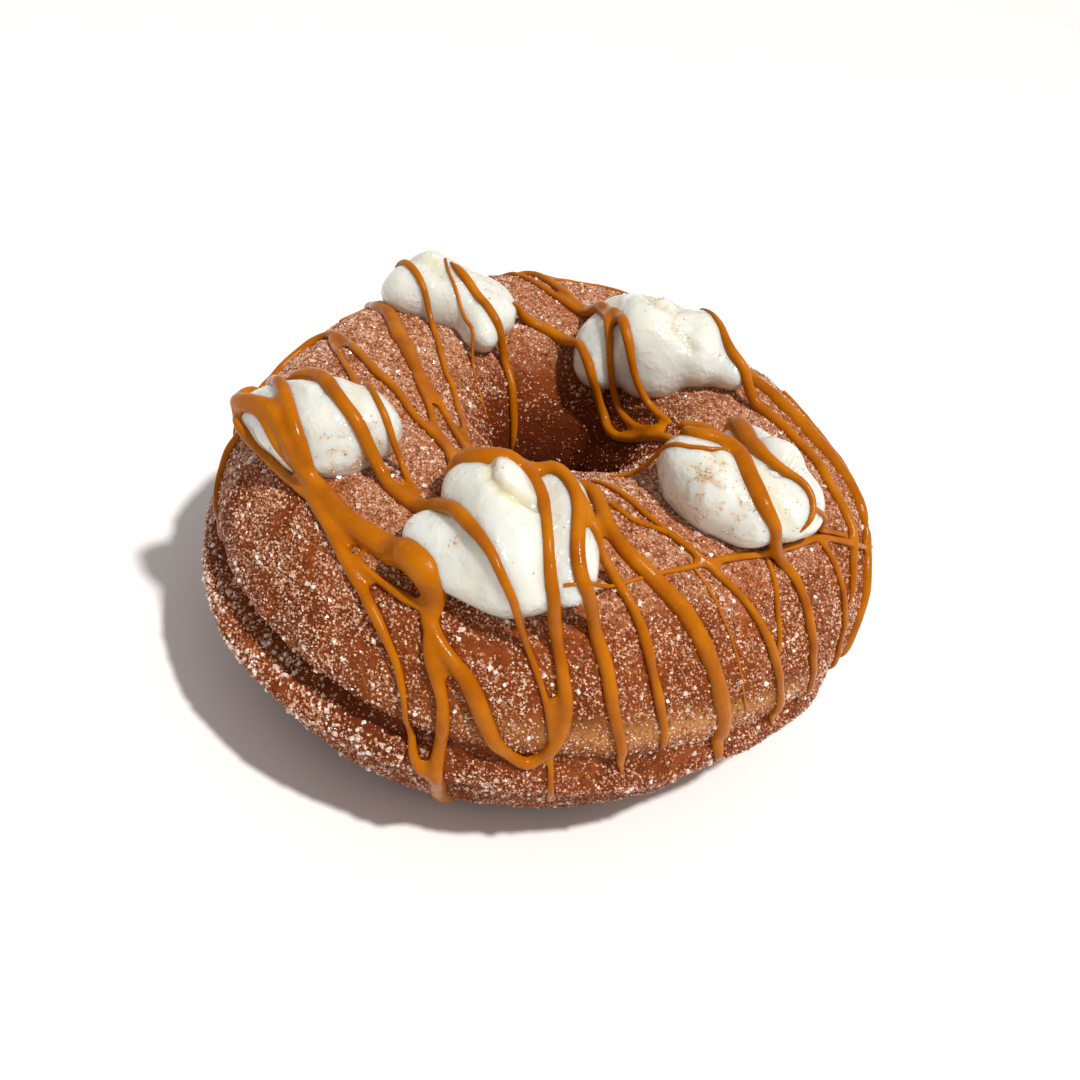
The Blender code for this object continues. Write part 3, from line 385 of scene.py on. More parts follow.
# Camera, as in the photograph, and light from the right and high up.
VIEW_TARGET = (-1.3, -0.2, 17.8)
VIEW_ELEVATION = 38.0
VIEW_ROLL = -16.75
VIEW_DISTANCE = 204.5
VIEW_LENS = 42.13
VIEW_SHIFT = (0.0057, -0.0056)
VIEW_CLIP = (0.01, 20.0)
SENSOR = 36.0
KEY_DIRECTION = (0.33, -0.23, 0.915)
KEY_DISTANCE = 3.0
FLOOR_REACH = 3.0


# ---- sizes and colours to change

def length(name, about, millimetres):
    return FloatProperty(
        name=name, description=about, default=millimetres * MM, unit="LENGTH", subtype="DISTANCE")


def number(name, about, whole):
    return IntProperty(name=name, description=about, default=whole)


def colour(name, about, paint):
    return FloatVectorProperty(name=name, description=about, default=paint, subtype="COLOR")


def factor(name, about, least, most):
    return FloatProperty(
        name=name, description=about, default=1.0, subtype="FACTOR", min=least, max=most)


class DoughSettings(bpy.types.PropertyGroup):
    outer_radius: length("Outer radius", "Mean radius of the ring", 51.0)
    hole_radius: length("Hole radius", "Radius of the hole at its waist", 8.4)
    rise: length("Rise", "Height of the risen section before it settles", 46.4)
    crease: length("Crease", "Depth of the proof line all round", 0.8)
    deep_crease: length("Deep crease", "How much deeper the proof line is at its deepest", 3.2)
    lip: length("Lip", "Height of the swollen lip under the proof line", 1.0)
    crust_colour: colour("Crust", "Fried crust where it is darkest", (0.125, 0.021, 0.0025))
    toast_colour: colour("Toast", "Fried crust where it is lightest", (0.30, 0.062, 0.006))
    # Painted shade: the colour that the hole's wall and the proof line are darkened towards.
    deep_colour: colour("Painted shade", "Painted shade in the hole and in the proof line", (0.075, 0.010, 0.0022))
    dust_colour: colour("Dust", "Cinnamon sugar dust", (0.50, 0.225, 0.110))
    pale_colour: colour("Pale line", "Dough that the oil missed", (0.52, 0.235, 0.062))


class CreamSettings(bpy.types.PropertyGroup):
    voxel: length("Detail", "Size of the cells that the lobes melt into", 0.3)
    smoothing: number("Smoothing", "Passes that even out the melted lobes", 6)
    softness: length("Softness", "How far the lobes run into each other", 0.9)
    colour: colour("Cream", "Whipped cream in the light", (0.71, 0.72, 0.665))
    # Painted shade: the colour that the folds are darkened and yellowed towards; soft noise also mixes it
    # in as random tint.
    fold_colour: colour("Fold", "Whipped cream deep in a fold", (0.70, 0.65, 0.45))


class CaramelSettings(bpy.types.PropertyGroup):
    voxel: length("Detail", "Size of the cells that the strands melt into", 0.24)
    swell: length("Swell", "Added to each strand's radius so that near strands run together", 0.34)
    shrink: length("Shrink", "Taken off all round once they have run together", 0.43)
    smoothing: number("Smoothing", "Passes that round off where strands meet", 8)
    sides: number("Sides", "Sides of a strand before it melts", 16)
    triangles: number("Triangles", "Most triangles in the drizzle", 190000)
    colour: colour("Caramel", "Caramel where it lies thick", (0.345, 0.088, 0.0))
    thin_colour: colour("Thin caramel", "Caramel where it runs thin", (0.47, 0.142, 0.0))


class GrainSettings(bpy.types.PropertyGroup):
    amount: factor("Amount", "Share of the usual number of grains", 0.0, 1.0)
    size: factor("Size", "Grain size against the usual", 0.2, 2.0)
    clearance: length("Clearance", "Bare gap round the caramel", 0.12)


class StageSettings(bpy.types.PropertyGroup):
    floor_colour: colour("Floor", "Pale floor", (0.86, 0.84, 0.83))
    key_power: FloatProperty(
        name="Key light", description="Power of the main light", default=93.0, unit="POWER")
    key_size: length("Key size", "Width of the main light", 200.0)
    key_colour: colour("Key colour", "Colour of the main light", (1.0, 0.975, 0.94))
    fill_strength: FloatProperty(
        name="Fill", description="Strength of the light from all round", default=0.46)


SETTINGS = {"dough": DoughSettings, "cream": CreamSettings, "caramel": CaramelSettings,
            "grains": GrainSettings, "stage": StageSettings}


# ---- node trees

class Value:
    """An output of a node. Sums on it add Math nodes to its tree."""

    def __init__(self, tree, socket):
        self.tree, self.socket = tree, socket

    def of(self, name):
        """Another output of the same node."""
        return Value(self.tree, self.socket.node.outputs[name])

    def maths(self, operation, *values):
        return self.tree.node("ShaderNodeMath", dict(enumerate(values)), operation=operation)

    def __add__(self, other):
        return self.maths("ADD", self, other)

    def __mul__(self, other):
        return self.maths("MULTIPLY", self, other)

    def __rsub__(self, other):
        return self.maths("SUBTRACT", other, self)

    def __lt__(self, other):
        return self.maths("LESS_THAN", self, other)

    __radd__, __rmul__ = __add__, __mul__

    def clamped(self):
        held = self + 0.0
        held.socket.node.use_clamp = True
        return held


class Tree:
    """A shader or geometry tree under construction."""

    def __init__(self, tree):
        self.tree = tree

    def node(self, kind, values=(), output=0, **settings):
        """Add a node with its settings, then the values or links of its sockets."""
        made = self.tree.nodes.new(kind)
        for name, setting in settings.items():
            setattr(made, name, setting)
        for name, value in dict(values).items():
            if isinstance(value, Value):
                self.tree.links.new(value.socket, made.inputs[name])
            else:
                made.inputs[name].default_value = value
        return Value(self, made.outputs[output] if len(made.outputs) else None)


class Finish(Tree):
    """A material with one Principled shader."""

    def __init__(self, name):
        self.material = bpy.data.materials.new(name)
        self.material.use_nodes = True
        super().__init__(self.material.node_tree)
        self.tree.nodes.clear()
        self.place = self.node("ShaderNodeTexCoord", output="Object")

    def attribute(self, name):
        return self.node("ShaderNodeAttribute", output="Fac", attribute_name=name)

    def noise(self, size, detail=2.0, rough=0.5):
        """Noise with features of a size in millimetres."""
        return self.node("ShaderNodeTexNoise", {
            "Vector": self.place, "Scale": 1 / (size * MM), "Detail": detail, "Roughness": rough})

    def ramp(self, value, *stops):
        """A value turned into another by two stops of place and shade."""
        made = self.node("ShaderNodeValToRGB", {0: value})
        for element, (place, shade) in zip(made.socket.node.color_ramp.elements, stops):
            element.position, element.color = place, (shade, shade, shade, 1)
        return made * 1.0

    def mix(self, share, *paints):
        """A colour between two."""
        start, end = (paint if isinstance(paint, Value) else (*paint, 1) for paint in paints)
        return self.node("ShaderNodeMix", {0: share, 6: start, 7: end}, output=2, data_type="RGBA")

    def bump(self, height, distance, strength=1.0, under=None):
        """A bump of a height in millimetres, on top of another where one is given."""
        values = {"Height": height, "Distance": distance * MM, "Strength": strength}
        if under is not None:
            values["Normal"] = under
        return self.node("ShaderNodeBump", values)

    def done(self, sockets):
        shader = self.node("ShaderNodeBsdfPrincipled", sockets)
        self.node("ShaderNodeOutputMaterial", {"Surface": shader})
        return self.material


def geometry_group(name, inputs):
    """A Geometry Nodes group: its tree, and its inputs by name."""
    group = bpy.data.node_groups.new(name, "GeometryNodeTree")
    group.interface.new_socket(name="Geometry", in_out="OUTPUT", socket_type="NodeSocketGeometry")
    for title, kind in {"Geometry": "Geometry", **inputs}.items():
        group.interface.new_socket(name=title, in_out="INPUT", socket_type="NodeSocket" + kind)
    tree = Tree(group)
    entry = tree.node("NodeGroupInput")
    return tree, {title: entry.of(title) for title in ("Geometry", *inputs)}


def finish_group(tree, geometry, smooth, finish):
    """Realize, shade and paint what a group made."""
    whole = tree.node("GeometryNodeRealizeInstances", {"Geometry": geometry})
    shaded = tree.node("GeometryNodeSetShadeSmooth", {"Geometry": whole, "Shade Smooth": smooth})
    painted = tree.node("GeometryNodeSetMaterial", {"Geometry": shaded, "Material": finish})
    tree.node("NodeGroupOutput", {"Geometry": painted})
    return tree.tree


def grow(host, group, values):
    """The plain mesh that a Geometry Nodes group makes from an object."""
    modifier = host.modifiers.new(group.name, "NODES")
    modifier.node_group = group
    for item in group.interface.items_tree:
        if item.in_out == "INPUT" and item.name in values:
            modifier[item.identifier] = values[item.name]
    mesh = evaluated_mesh(host)
    host.modifiers.remove(modifier)
    return mesh


# ---- mesh helpers

def new_object(name, data):
    item = bpy.data.objects.new(name, data)
    bpy.context.scene.collection.objects.link(item)
    return item


def drop_object(item):
    data = item.data
    bpy.data.objects.remove(item, do_unlink=True)
    store = bpy.data.meshes if isinstance(data, bpy.types.Mesh) else bpy.data.curves
    store.remove(data)


def mesh_of(cage, name):
    """The mesh of a finished bmesh."""
    mesh = bpy.data.meshes.new(name)
    cage.to_mesh(mesh)
    cage.free()
    return mesh


def evaluated_mesh(item):
    bpy.context.view_layer.update()
    graph = bpy.context.evaluated_depsgraph_get()
    return bpy.data.meshes.new_from_object(item.evaluated_get(graph))


def apply_modifiers(item):
    old = item.data
    item.data = evaluated_mesh(item)
    item.modifiers.clear()
    bpy.data.meshes.remove(old)


def melt(item, voxel, smoothing):
    """Run the parts of a mesh together and soften what comes of it."""
    cells = item.modifiers.new("melt", "REMESH")
    cells.mode = "VOXEL"
    cells.voxel_size = voxel
    soften = item.modifiers.new("soften", "SMOOTH")
    soften.iterations = smoothing
    apply_modifiers(item)


def numbers_of(items, field, width):
    """One field of a mesh's items as rows of numbers."""
    found = np.empty(len(items) * width)
    items.foreach_get(field, found)
    return found.reshape(-1, width)


def corners_of(mesh):
    return numbers_of(mesh.vertices, "co", 3)


def normals_of(mesh):
    return numbers_of(mesh.vertex_normals, "vector", 3)


def attribute_values(mesh, name):
    return numbers_of(mesh.attributes[name].data, "value", 1)[:, 0]


def move_corners(mesh, places):
    mesh.vertices.foreach_set("co", places.astype(np.float32).ravel())
    mesh.update()


def set_attribute(mesh, name, values):
    layer = mesh.attributes.new(name, "FLOAT", "POINT")
    layer.data.foreach_set("value", np.asarray(values, np.float32))


def surface_tree(item):
    cage = bmesh.new()
    cage.from_mesh(item.data)
    tree = BVHTree.FromBMesh(cage)
    cage.free()
    return tree


def uneven(places, size):
    """Noise at places, with features of a size in the same unit."""
    return np.array([noise.noise(Vector(place) / size) for place in places])


def hand_over(item, slot, *nodes):
    """Ride the body and stand for CAD nodes. The slot is not used."""
    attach(item, "root")
    if nodes:
        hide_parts(*nodes)


# ---- the ring

def signed_power(value, power):
    return np.abs(value) ** power * np.sign(value)


def wrapped(offset):
    """A difference of angles, brought between -180 and 180."""
    return (offset + 180) % 360 - 180


def bump_of(offset, width):
    """A smooth hill of height 1, for distances in degrees."""
    return np.exp(-(wrapped(offset) / width) ** 2)


def near(angle, place, reach=1.0):
    """How near angles are to a place on the ring with a spread, from 0 to 1."""
    return bump_of(angle - place[0], place[1] * reach)


def crease_height(angle):
    """Section angle of the proof line at places round the ring."""
    mean, swing, highest = CREASE_HEIGHT
    return mean + swing * np.cos(np.radians(angle - highest))


def groove_of(above):
    """The share of the proof line's depth at section angles above it."""
    return bump_of(above, np.where(above > 0, *CREASE_WIDTH))


def unit(vectors):
    return vectors / np.linalg.norm(vectors, axis=-1, keepdims=True)


class Ring:
    """The form of the dough."""

    def __init__(self, sizes, plain=False):
        self.sizes, self.plain = sizes, plain

    def relief(self, angle, section):
        """How far the dough stands off its plain form: the groove, the lip under it and lumps."""
        sizes, above, deep = self.sizes, section - crease_height(angle), near(angle, DEEP_PLACE)
        height = -(sizes.crease / MM + sizes.deep_crease / MM * deep) * groove_of(above)
        height += sizes.lip / MM * (1 + LIP_SWELL * deep) * bump_of(above + LIP_DROP, LIP_WIDTH)
        for round_ring, round_section, size, phase in LUMPS:
            height += size * np.sin(np.radians(round_ring * angle) + phase) * np.cos(
                np.radians(round_section * section) + 2 * phase)
        return height

    def surface(self, angle, section, proud=0.0):
        """Points of the dough's surface in metres."""
        turn, roll = np.radians(angle), np.radians(section)
        outer = self.sizes.outer_radius / MM
        for waves, cosine, sine in OUTLINE_WAVES:
            outer = outer + cosine * np.cos(waves * turn) + sine * np.sin(waves * turn)
        hole = HOLE_OFFSET * np.sin(turn) + np.sqrt(
            (self.sizes.hole_radius / MM) ** 2 - (HOLE_OFFSET * np.cos(turn)) ** 2)
        middle, reach = (outer + hole) / 2, (outer - hole) / 2
        rise = self.sizes.rise / MM + RISE_TILT[0] * np.cos(turn) + RISE_TILT[1] * np.sin(turn)
        across = signed_power(np.cos(roll), SQUARENESS) * reach * (
            1 - UNDERCUT * np.maximum(-np.sin(roll), 0))
        up = rise / 2 * (1 + signed_power(np.sin(roll), SQUARENESS))
        stand = proud + (0 if self.plain else self.relief(angle, section))
        radius = middle + across + stand * np.cos(roll)
        height = np.maximum(up + stand * np.sin(roll) - SETTLE, 0)
        return np.stack([radius * np.cos(turn) + CENTRE[0], radius * np.sin(turn) + CENTRE[1],
                         height], axis=-1) * MM

    def axes(self, angle, section):
        """Surface points with their axes: along the ring, outward across it, off the surface."""
        step, point = TANGENT_STEP, self.surface(angle, section)
        along = unit(self.surface(angle + step, section) - self.surface(angle - step, section))
        over = unit(self.surface(angle, section + step) - self.surface(angle, section - step))
        off = unit(np.cross(along, over))
        core = (self.surface(angle, section * 0) + self.surface(angle, section * 0 + 180)) / 2
        off = off * np.sign(np.sum(off * (point - core), axis=-1, keepdims=True))
        across = unit(np.cross(off, along))
        across = across * -np.sign(np.sum(across * over, axis=-1, keepdims=True))
        return point, along, across, off


def make_dough(ring):
    """The ring as a fine grid with swellings in its crust."""
    angles = np.arange(RING_COLUMNS) * 360 / RING_COLUMNS
    rows = np.arange(RING_ROWS) * 360 / RING_ROWS
    sections = rows - ROW_GATHER * np.sin(np.radians(rows))
    angle, section = (grid.ravel() for grid in np.meshgrid(angles, sections, indexing="ij"))
    plain = ring.surface(angle, section)
    swelling = np.zeros(len(plain))
    for size, height in SWELLS:
        swelling += height * uneven(plain, size * MM)
    faces = []
    for column in range(RING_COLUMNS):
        here, there = column * RING_ROWS, (column + 1) % RING_COLUMNS * RING_ROWS
        for row in range(RING_ROWS):
            after = (row + 1) % RING_ROWS
            faces.append((here + row, there + row, there + after, here + after))
    mesh = bpy.data.meshes.new("sugared_dough")
    mesh.from_pydata(ring.surface(angle, section, swelling), [], faces)
    mesh.shade_smooth()
    above, deep = section - crease_height(angle), near(angle, DEEP_PLACE, SUGAR_REACH)
    off_wall = np.abs(wrapped(section - HOLE_MIDDLE))
    # groove: how much painted shade darkens the proof line, most at its deepest place; it also takes sugar
    # away.
    set_attribute(mesh, "groove", groove_of(above) * (SHALLOW_SHADE + (1 - SHALLOW_SHADE) * deep))
    set_attribute(mesh, "pale", bump_of(above - PALE_RISE, PALE_WIDTH) * near(angle, PALE_PLACE))
    set_attribute(mesh, "crest", np.clip(np.sin(np.radians(section)), 0, 1))
    set_attribute(mesh, "lip", bump_of(above + LIP_DROP, LIP_WIDTH * SUGAR_REACH) * deep)
    set_attribute(mesh, "side", near(angle, SUGARED_SIDE))
    # hole: how much painted shade darkens the hole's wall; it also takes dust and sugar away.
    set_attribute(mesh, "hole", np.clip((HOLE_SPREAD - off_wall) / HOLE_FADE, 0, 1))
    return new_object("sugared_dough", mesh)


def dough_finish(colours):
    finish = Finish("sugared crust")
    broad, mottle, grit = finish.noise(9.0, 3.0), finish.noise(1.6, 3.0, 0.6), finish.noise(0.35, 2.0, 0.6)
    crest, hole = finish.attribute("crest"), finish.attribute("hole")
    crust = finish.mix(finish.ramp(broad * 0.5 + mottle * 0.5 + crest * 0.10, (0.42, 0.0), (0.70, 1.0)),
                       colours.crust_colour, colours.toast_colour)
    crust = finish.mix(finish.attribute("pale") * finish.ramp(mottle, (0.25, 1.0), (0.75, 0.75)),
                       crust, colours.pale_colour)
    crown = finish.ramp(crest + 0.3 * broad, (0.88, 0.0), (1.0, 1.0))
    dusted = finish.ramp(grit * 0.6 + mottle * 0.4, (0.41, 0.0), (0.57, 1.0)) * (0.06 + 0.76 * crown)
    # Painted shade: the hole's wall keeps no dust, and it and the proof line are darkened towards the shade
    # colour.
    crust = finish.mix(dusted * (1 - hole), crust, colours.dust_colour)
    crust = finish.mix(finish.attribute("groove") * 0.7 + hole * 0.8, crust, colours.deep_colour)
    rough = finish.bump(grit, 0.25, 0.8, finish.bump(mottle, 0.5, 0.5))
    return finish.done({"Base Color": crust, "Roughness": 0.82 - 0.25 * dusted, "Normal": rough,
                        "Specular IOR Level": 0.12})


# ---- the cream

def dollop_axes(ring, name):
    """The matrix of a dollop's own frame."""
    angle, section = DOLLOPS[name][:2]
    point, along, across, off = ring.axes(np.float64(angle), np.float64(section))
    base = Matrix((along, across, off)).transposed().to_4x4()
    base.translation = Vector(point)
    return base


def lobe_field(places, lobes, softness):
    """Depth outside a smooth union of lobes, and its slope, at places in their own frame."""
    total, slope = np.zeros(len(places)), np.zeros_like(places)
    for u, v, n, long, wide, high, turn in lobes:
        spin = np.array(Matrix.Rotation(radians(turn), 3, "Z"))
        sizes = np.array((long, wide, high))
        inner = (places - (u, v, n)) @ spin
        near_middle = np.linalg.norm(inner / sizes, axis=1)
        steep = np.linalg.norm(inner / sizes ** 2, axis=1) + 1e-6
        weight = np.exp(-near_middle * (near_middle - 1) / steep / softness)
        total += weight
        slope += (weight / steep)[:, None] * (inner / sizes ** 2 @ spin.T)
    return -softness * np.log(total), slope / total[:, None]


def fold_depth(places, folds):
    """How deep places lie in the folds drawn on a dollop."""
    depth = np.zeros(len(places))
    for width, deepest, line in folds:
        gap = np.full(len(places), np.inf)
        for start, end in zip(np.array(line[:-1]), np.array(line[1:])):
            run = end - start
            share = np.clip((places[:, :2] - start) @ run / (run @ run), 0, 1)
            gap = np.minimum(gap, np.linalg.norm(places[:, :2] - start - share[:, None] * run, axis=1))
        depth += deepest * np.exp(-(gap / width) ** 2)
    return depth


def speck_share(places, spots):
    """How thick spice lies at places on a dollop."""
    share = np.zeros(len(places))
    for u, v, spread, most in spots:
        share += most * np.exp(-np.sum((places[:, :2] - (u, v)) ** 2, axis=1) / spread ** 2)
    mean, swing, least, most = CLUMPINESS
    clumps = np.clip(mean + swing * uneven(places, CLUMP), least, most)
    return (STRAY_SPICE + share * clumps) * (places[:, 2] > SPICE_HEIGHT)


def make_dollop(name, ring, settings):
    """A dollop's lobes, melted into one soft body with folds in it."""
    lobes, softness = DOLLOPS[name][2], settings.softness / MM
    cage = bmesh.new()
    for u, v, n, long, wide, high, turn in lobes:
        place = Matrix.Translation((u, v, n)) @ Matrix.Rotation(radians(turn), 4, "Z")
        size = Matrix.Diagonal((long + softness, wide + softness, high + softness, 1))
        bmesh.ops.create_uvsphere(
            cage, u_segments=LOBE_SEGMENTS[0], v_segments=LOBE_SEGMENTS[1], radius=1.0, matrix=place @ size)
    bmesh.ops.recalc_face_normals(cage, faces=cage.faces)
    item = new_object("whipped_" + name, mesh_of(cage, name))
    melt(item, settings.voxel / MM, settings.smoothing)
    places = corners_of(item.data)
    for _ in range(MELT_PASSES):
        depth, slope = lobe_field(places, lobes, softness)
        places -= slope * (depth / np.sum(slope ** 2, axis=1))[:, None]
    normals = unit(lobe_field(places, lobes, softness)[1])
    fold = fold_depth(places, FOLDS[name]) * np.clip(normals[:, 2] * FOLD_FACING, 0, 1)
    swelling = -fold
    for size, height in DIMPLES:
        swelling += height * uneven(places, size)
    move_corners(item.data, places + normals * swelling[:, None])
    # fold: the folds' depth, used to paint shade into them.
    set_attribute(item.data, "fold", np.clip(fold, 0, 1))
    set_attribute(item.data, "specks", speck_share(places, SPECKS[name]))
    base = dollop_axes(ring, name)
    item.data.transform(base @ Matrix.Scale(MM, 4))
    if base.determinant() < 0:
        item.data.flip_normals()
    item.data.shade_smooth()
    return item


def cream_finish(colours):
    finish = Finish("whipped cream")
    soft = finish.noise(6.0, 2.0)
    froth = finish.noise(0.7, 1.0, 0.5) * finish.ramp(finish.noise(3.4, 2.0), (0.42, 0.0), (0.58, 1.0))
    # Painted shade in the folds, plus random soft patches of the same tint.
    body = finish.mix(finish.attribute("fold") * 0.9 + finish.ramp(soft, (0.45, 0.0), (0.75, 0.25)),
                      colours.colour, colours.fold_colour)
    powder = finish.attribute("specks") * finish.ramp(finish.noise(0.6, 3.0, 0.7), (0.36, 0.0), (0.66, 1.0))
    body = finish.mix(powder.clamped(), body, POWDER_COLOUR)
    wet = finish.bump(froth, 0.28, 1.0, finish.bump(finish.noise(2.2, 2.0), 0.25, 0.5))
    return finish.done({
        "Base Color": body, "Roughness": 0.16 + 0.08 * soft, "Normal": wet,
        "Coat Weight": 0.6, "Coat Roughness": 0.06,
        "Subsurface Weight": 0.85, "Subsurface Radius": (1.0, 0.87, 0.68), "Subsurface Scale": 3.4 * MM})


# ---- the caramel

def between(before, start, end, after, share):
    """Catmull-Rom value between two route points."""
    return 0.5 * (2 * start + (end - before) * share
                  + (2 * before - 5 * start + 4 * end - after) * share ** 2
                  + (3 * start - before - 3 * end + after) * share ** 3)


def smooth_route(ring, route):
    """Rows of ring angle, section angle and width, an even step apart on a smooth curve."""
    rows = np.array(route, float)
    rows[:, 0] = np.degrees(np.unwrap(np.radians(rows[:, 0])))
    for _ in range(EASING):
        rows[1:-1] += (rows[:-2] + rows[2:] - 2 * rows[1:-1]) / 8
    rows = np.vstack([rows[:1], rows, rows[-1:]])
    share = (np.arange(ROUTE_SPAN) / ROUTE_SPAN)[:, None]
    spans = [between(*rows[spot:spot + 4], share) for spot in range(len(rows) - 3)]
    fine = np.vstack([*spans, rows[-1:]])
    steps = np.linalg.norm(np.diff(ring.surface(fine[:, 0], fine[:, 1]), axis=0), axis=1) / MM
    along = np.concatenate([[0], np.cumsum(steps)])
    even = np.linspace(0, along[-1], max(3, int(np.ceil(along[-1] / STRAND_STEP)) + 1))
    return np.stack([np.interp(even, along, column) for column in fine.T], axis=1)


def bead_lift(width):
    """Height of a strand's middle over its bed, so that wide ones spread and lie flatter."""
    return np.minimum(BEAD_MOST * width, BEAD_BASE + BEAD_SHARE * width) - width / 2


def lay_strand(ring, route, tip, dough, creams):
    """Lay a strand on dough and cream: its points in metres and its radii in millimetres."""
    rows = smooth_route(ring, route)
    points, *_, off = ring.axes(rows[:, 0], rows[:, 1])
    bed = np.full(len(points), -DOUGH_REACH)
    for spot, (point, out) in enumerate(zip(points, off)):
        for tree, reach in ((dough, DOUGH_REACH), *((cream, DRAPE_REACH) for cream in creams)):
            hit = tree.ray_cast(Vector(point + out * reach * MM), -Vector(out), 2 * reach * MM)
            if hit[0] is not None:
                bed[spot] = max(bed[spot], reach - hit[3] / MM)
    height = bed.copy()
    for _ in range(SETTLING):
        middle = (height[:-2] + height[2:]) / 2 - SAG * STRAND_STEP ** 2
        height[1:-1] = np.maximum(bed[1:-1], middle)
    swell, share = UNEVENNESS
    wander = uneven(points, swell * MM)
    steps = np.arange(len(rows))
    left = np.minimum(steps, steps[::-1]) * STRAND_STEP / DRIP_TAPER
    width = rows[:, 2] * (1 + 2 * share * wander) * np.minimum(1, tip + (1 - tip) * left ** DRIP_ROUND)
    return points + off * (height + bead_lift(width))[:, None] * MM, width / 2


def make_routes(name, runs):
    """One curve object with a spline for each strand."""
    curve = bpy.data.curves.new(name, "CURVE")
    curve.dimensions = "3D"
    for points, radii in runs:
        line = curve.splines.new("POLY")
        line.points.add(len(points) - 1)
        line.points.foreach_set("co", np.hstack([points, np.ones((len(points), 1))]).ravel())
        line.points.foreach_set("radius", radii * MM)
    return new_object(name, curve)


def tube_group():
    """Capped tubes along the splines of a curve object, by the radii of their points."""
    tree, given = geometry_group("caramel_tubes", {
        "Route": "Object", "Sides": "Int", "Swell": "Float", "Finish": "Material"})
    route = tree.node("GeometryNodeObjectInfo", {"Object": given["Route"]}, "Geometry")
    ring = tree.node("GeometryNodeCurvePrimitiveCircle", {"Resolution": given["Sides"], "Radius": 1.0})
    radius = tree.node("GeometryNodeInputRadius") + given["Swell"]
    tubes = tree.node("GeometryNodeCurveToMesh", {
        "Curve": route, "Profile Curve": ring, "Scale": radius, "Fill Caps": True})
    return finish_group(tree, tubes, True, given["Finish"])


def run_together(drizzle, settings):
    """Melt swollen strands into one mesh, take the swelling off again and thin it."""
    melt(drizzle, settings.voxel, settings.smoothing)
    move_corners(drizzle.data, corners_of(drizzle.data) - settings.shrink * normals_of(drizzle.data))
    thin = drizzle.modifiers.new("thin", "DECIMATE")
    thin.ratio = min(1.0, settings.triangles / (len(drizzle.data.loops) - 2 * len(drizzle.data.polygons)))
    apply_modifiers(drizzle)


def caramel_finish(colours):
    finish = Finish("poured caramel")
    drift, fleck = finish.noise(5.0, 3.0), finish.noise(0.5, 2.0, 0.6)
    body = finish.mix(finish.ramp(drift, (0.35, 0.0), (0.7, 1.0)), colours.colour, colours.thin_colour)
    body = finish.mix(finish.ramp(fleck, (0.64, 0.0), (0.76, 0.25)), body, FLECK_COLOUR)
    ripple = finish.bump(finish.noise(0.7, 3.0, 0.6), 0.10, 0.6, finish.bump(drift, 0.35, 0.4))
    return finish.done({
        "Base Color": body, "Roughness": finish.ramp(drift, (0.38, 0.13), (0.62, 0.30)), "Normal": ripple,
        "Specular IOR Level": 0.12})


# ---- sugar and spice

def random_value(tree, kind, least, most, seed):
    """A random number or vector for each grain."""
    first, output = (2, 1) if kind == "FLOAT" else (0, 0)
    limits = {first: least, first + 1: most, "Seed": seed}
    return tree.node("FunctionNodeRandomValue", limits, output, data_type=kind)


def scaled(tree, vector, size):
    return tree.node("ShaderNodeVectorMath", {0: vector, "Scale": size}, operation="SCALE")


def scatter_group():
    """Grains strewn over a surface by an attribute, clear of one other object."""
    tree, given = geometry_group("strewn_grains", {
        "Grain": "Object", "Clear Of": "Object", "Clearance": "Float", "Where": "String",
        "Density": "Float", "Spread": "Float", "Stand": "Float", "Seed": "Int", "Finish": "Material"})
    seed, spread = given["Seed"], given["Spread"]
    share = tree.node("GeometryNodeInputNamedAttribute", {"Name": given["Where"]}, data_type="FLOAT")
    points = tree.node("GeometryNodeDistributePointsOnFaces", {
        "Mesh": given["Geometry"], "Density": given["Density"] * share, "Seed": seed},
        distribute_method="RANDOM")
    other = tree.node("GeometryNodeObjectInfo", {"Object": given["Clear Of"]}, "Geometry")
    gap = tree.node("GeometryNodeProximity", {0: other}, "Distance", target_element="FACES")
    kept = tree.node("GeometryNodeDeleteGeometry", {
        "Geometry": points, "Selection": gap < given["Clearance"]}, domain="POINT")
    stretch = random_value(tree, "FLOAT_VECTOR", *GRAIN_STRETCH, seed)
    size = random_value(tree, "FLOAT", 1 - spread, 1 + spread, seed + 1)
    turn = random_value(tree, "FLOAT_VECTOR", *GRAIN_TURN, seed + 2)
    stand = scaled(tree, points.of("Normal"), given["Stand"] * size)
    placed = tree.node("GeometryNodeSetPosition", {"Geometry": kept, "Offset": stand})
    grain = tree.node("GeometryNodeObjectInfo", {"Object": given["Grain"]}, "Geometry")
    grains = tree.node("GeometryNodeInstanceOnPoints", {
        "Points": placed, "Instance": grain, "Scale": scaled(tree, stretch, size),
        "Rotation": tree.node("FunctionNodeEulerToRotation", {0: turn})})
    return finish_group(tree, grains, False, given["Finish"])


def make_grain(name, shape, size):
    """One crystal: a slanted block, a chip with eight facets, or a sliver with four."""
    cage = bmesh.new()
    if shape == "block":
        bmesh.ops.create_cube(cage, size=size)
        for corner in cage.verts:
            corner.co.x += BLOCK_LEAN * corner.co.z
            corner.co.y *= BLOCK_WIDTH
            if corner.co.z > 0:
                corner.co.xy *= BLOCK_TOP
    elif shape == "chip":
        bmesh.ops.create_uvsphere(cage, u_segments=4, v_segments=2, radius=size * FACET_RADIUS)
        for corner in cage.verts:
            corner.co.x += CHIP_LEAN * corner.co.y
    else:
        bmesh.ops.create_cone(cage, segments=3, radius1=size * FACET_RADIUS, radius2=0,
                              depth=size * SLIVER_LENGTH, cap_ends=True)
    bmesh.ops.triangulate(cage, faces=cage.faces)
    return new_object(name, mesh_of(cage, name))


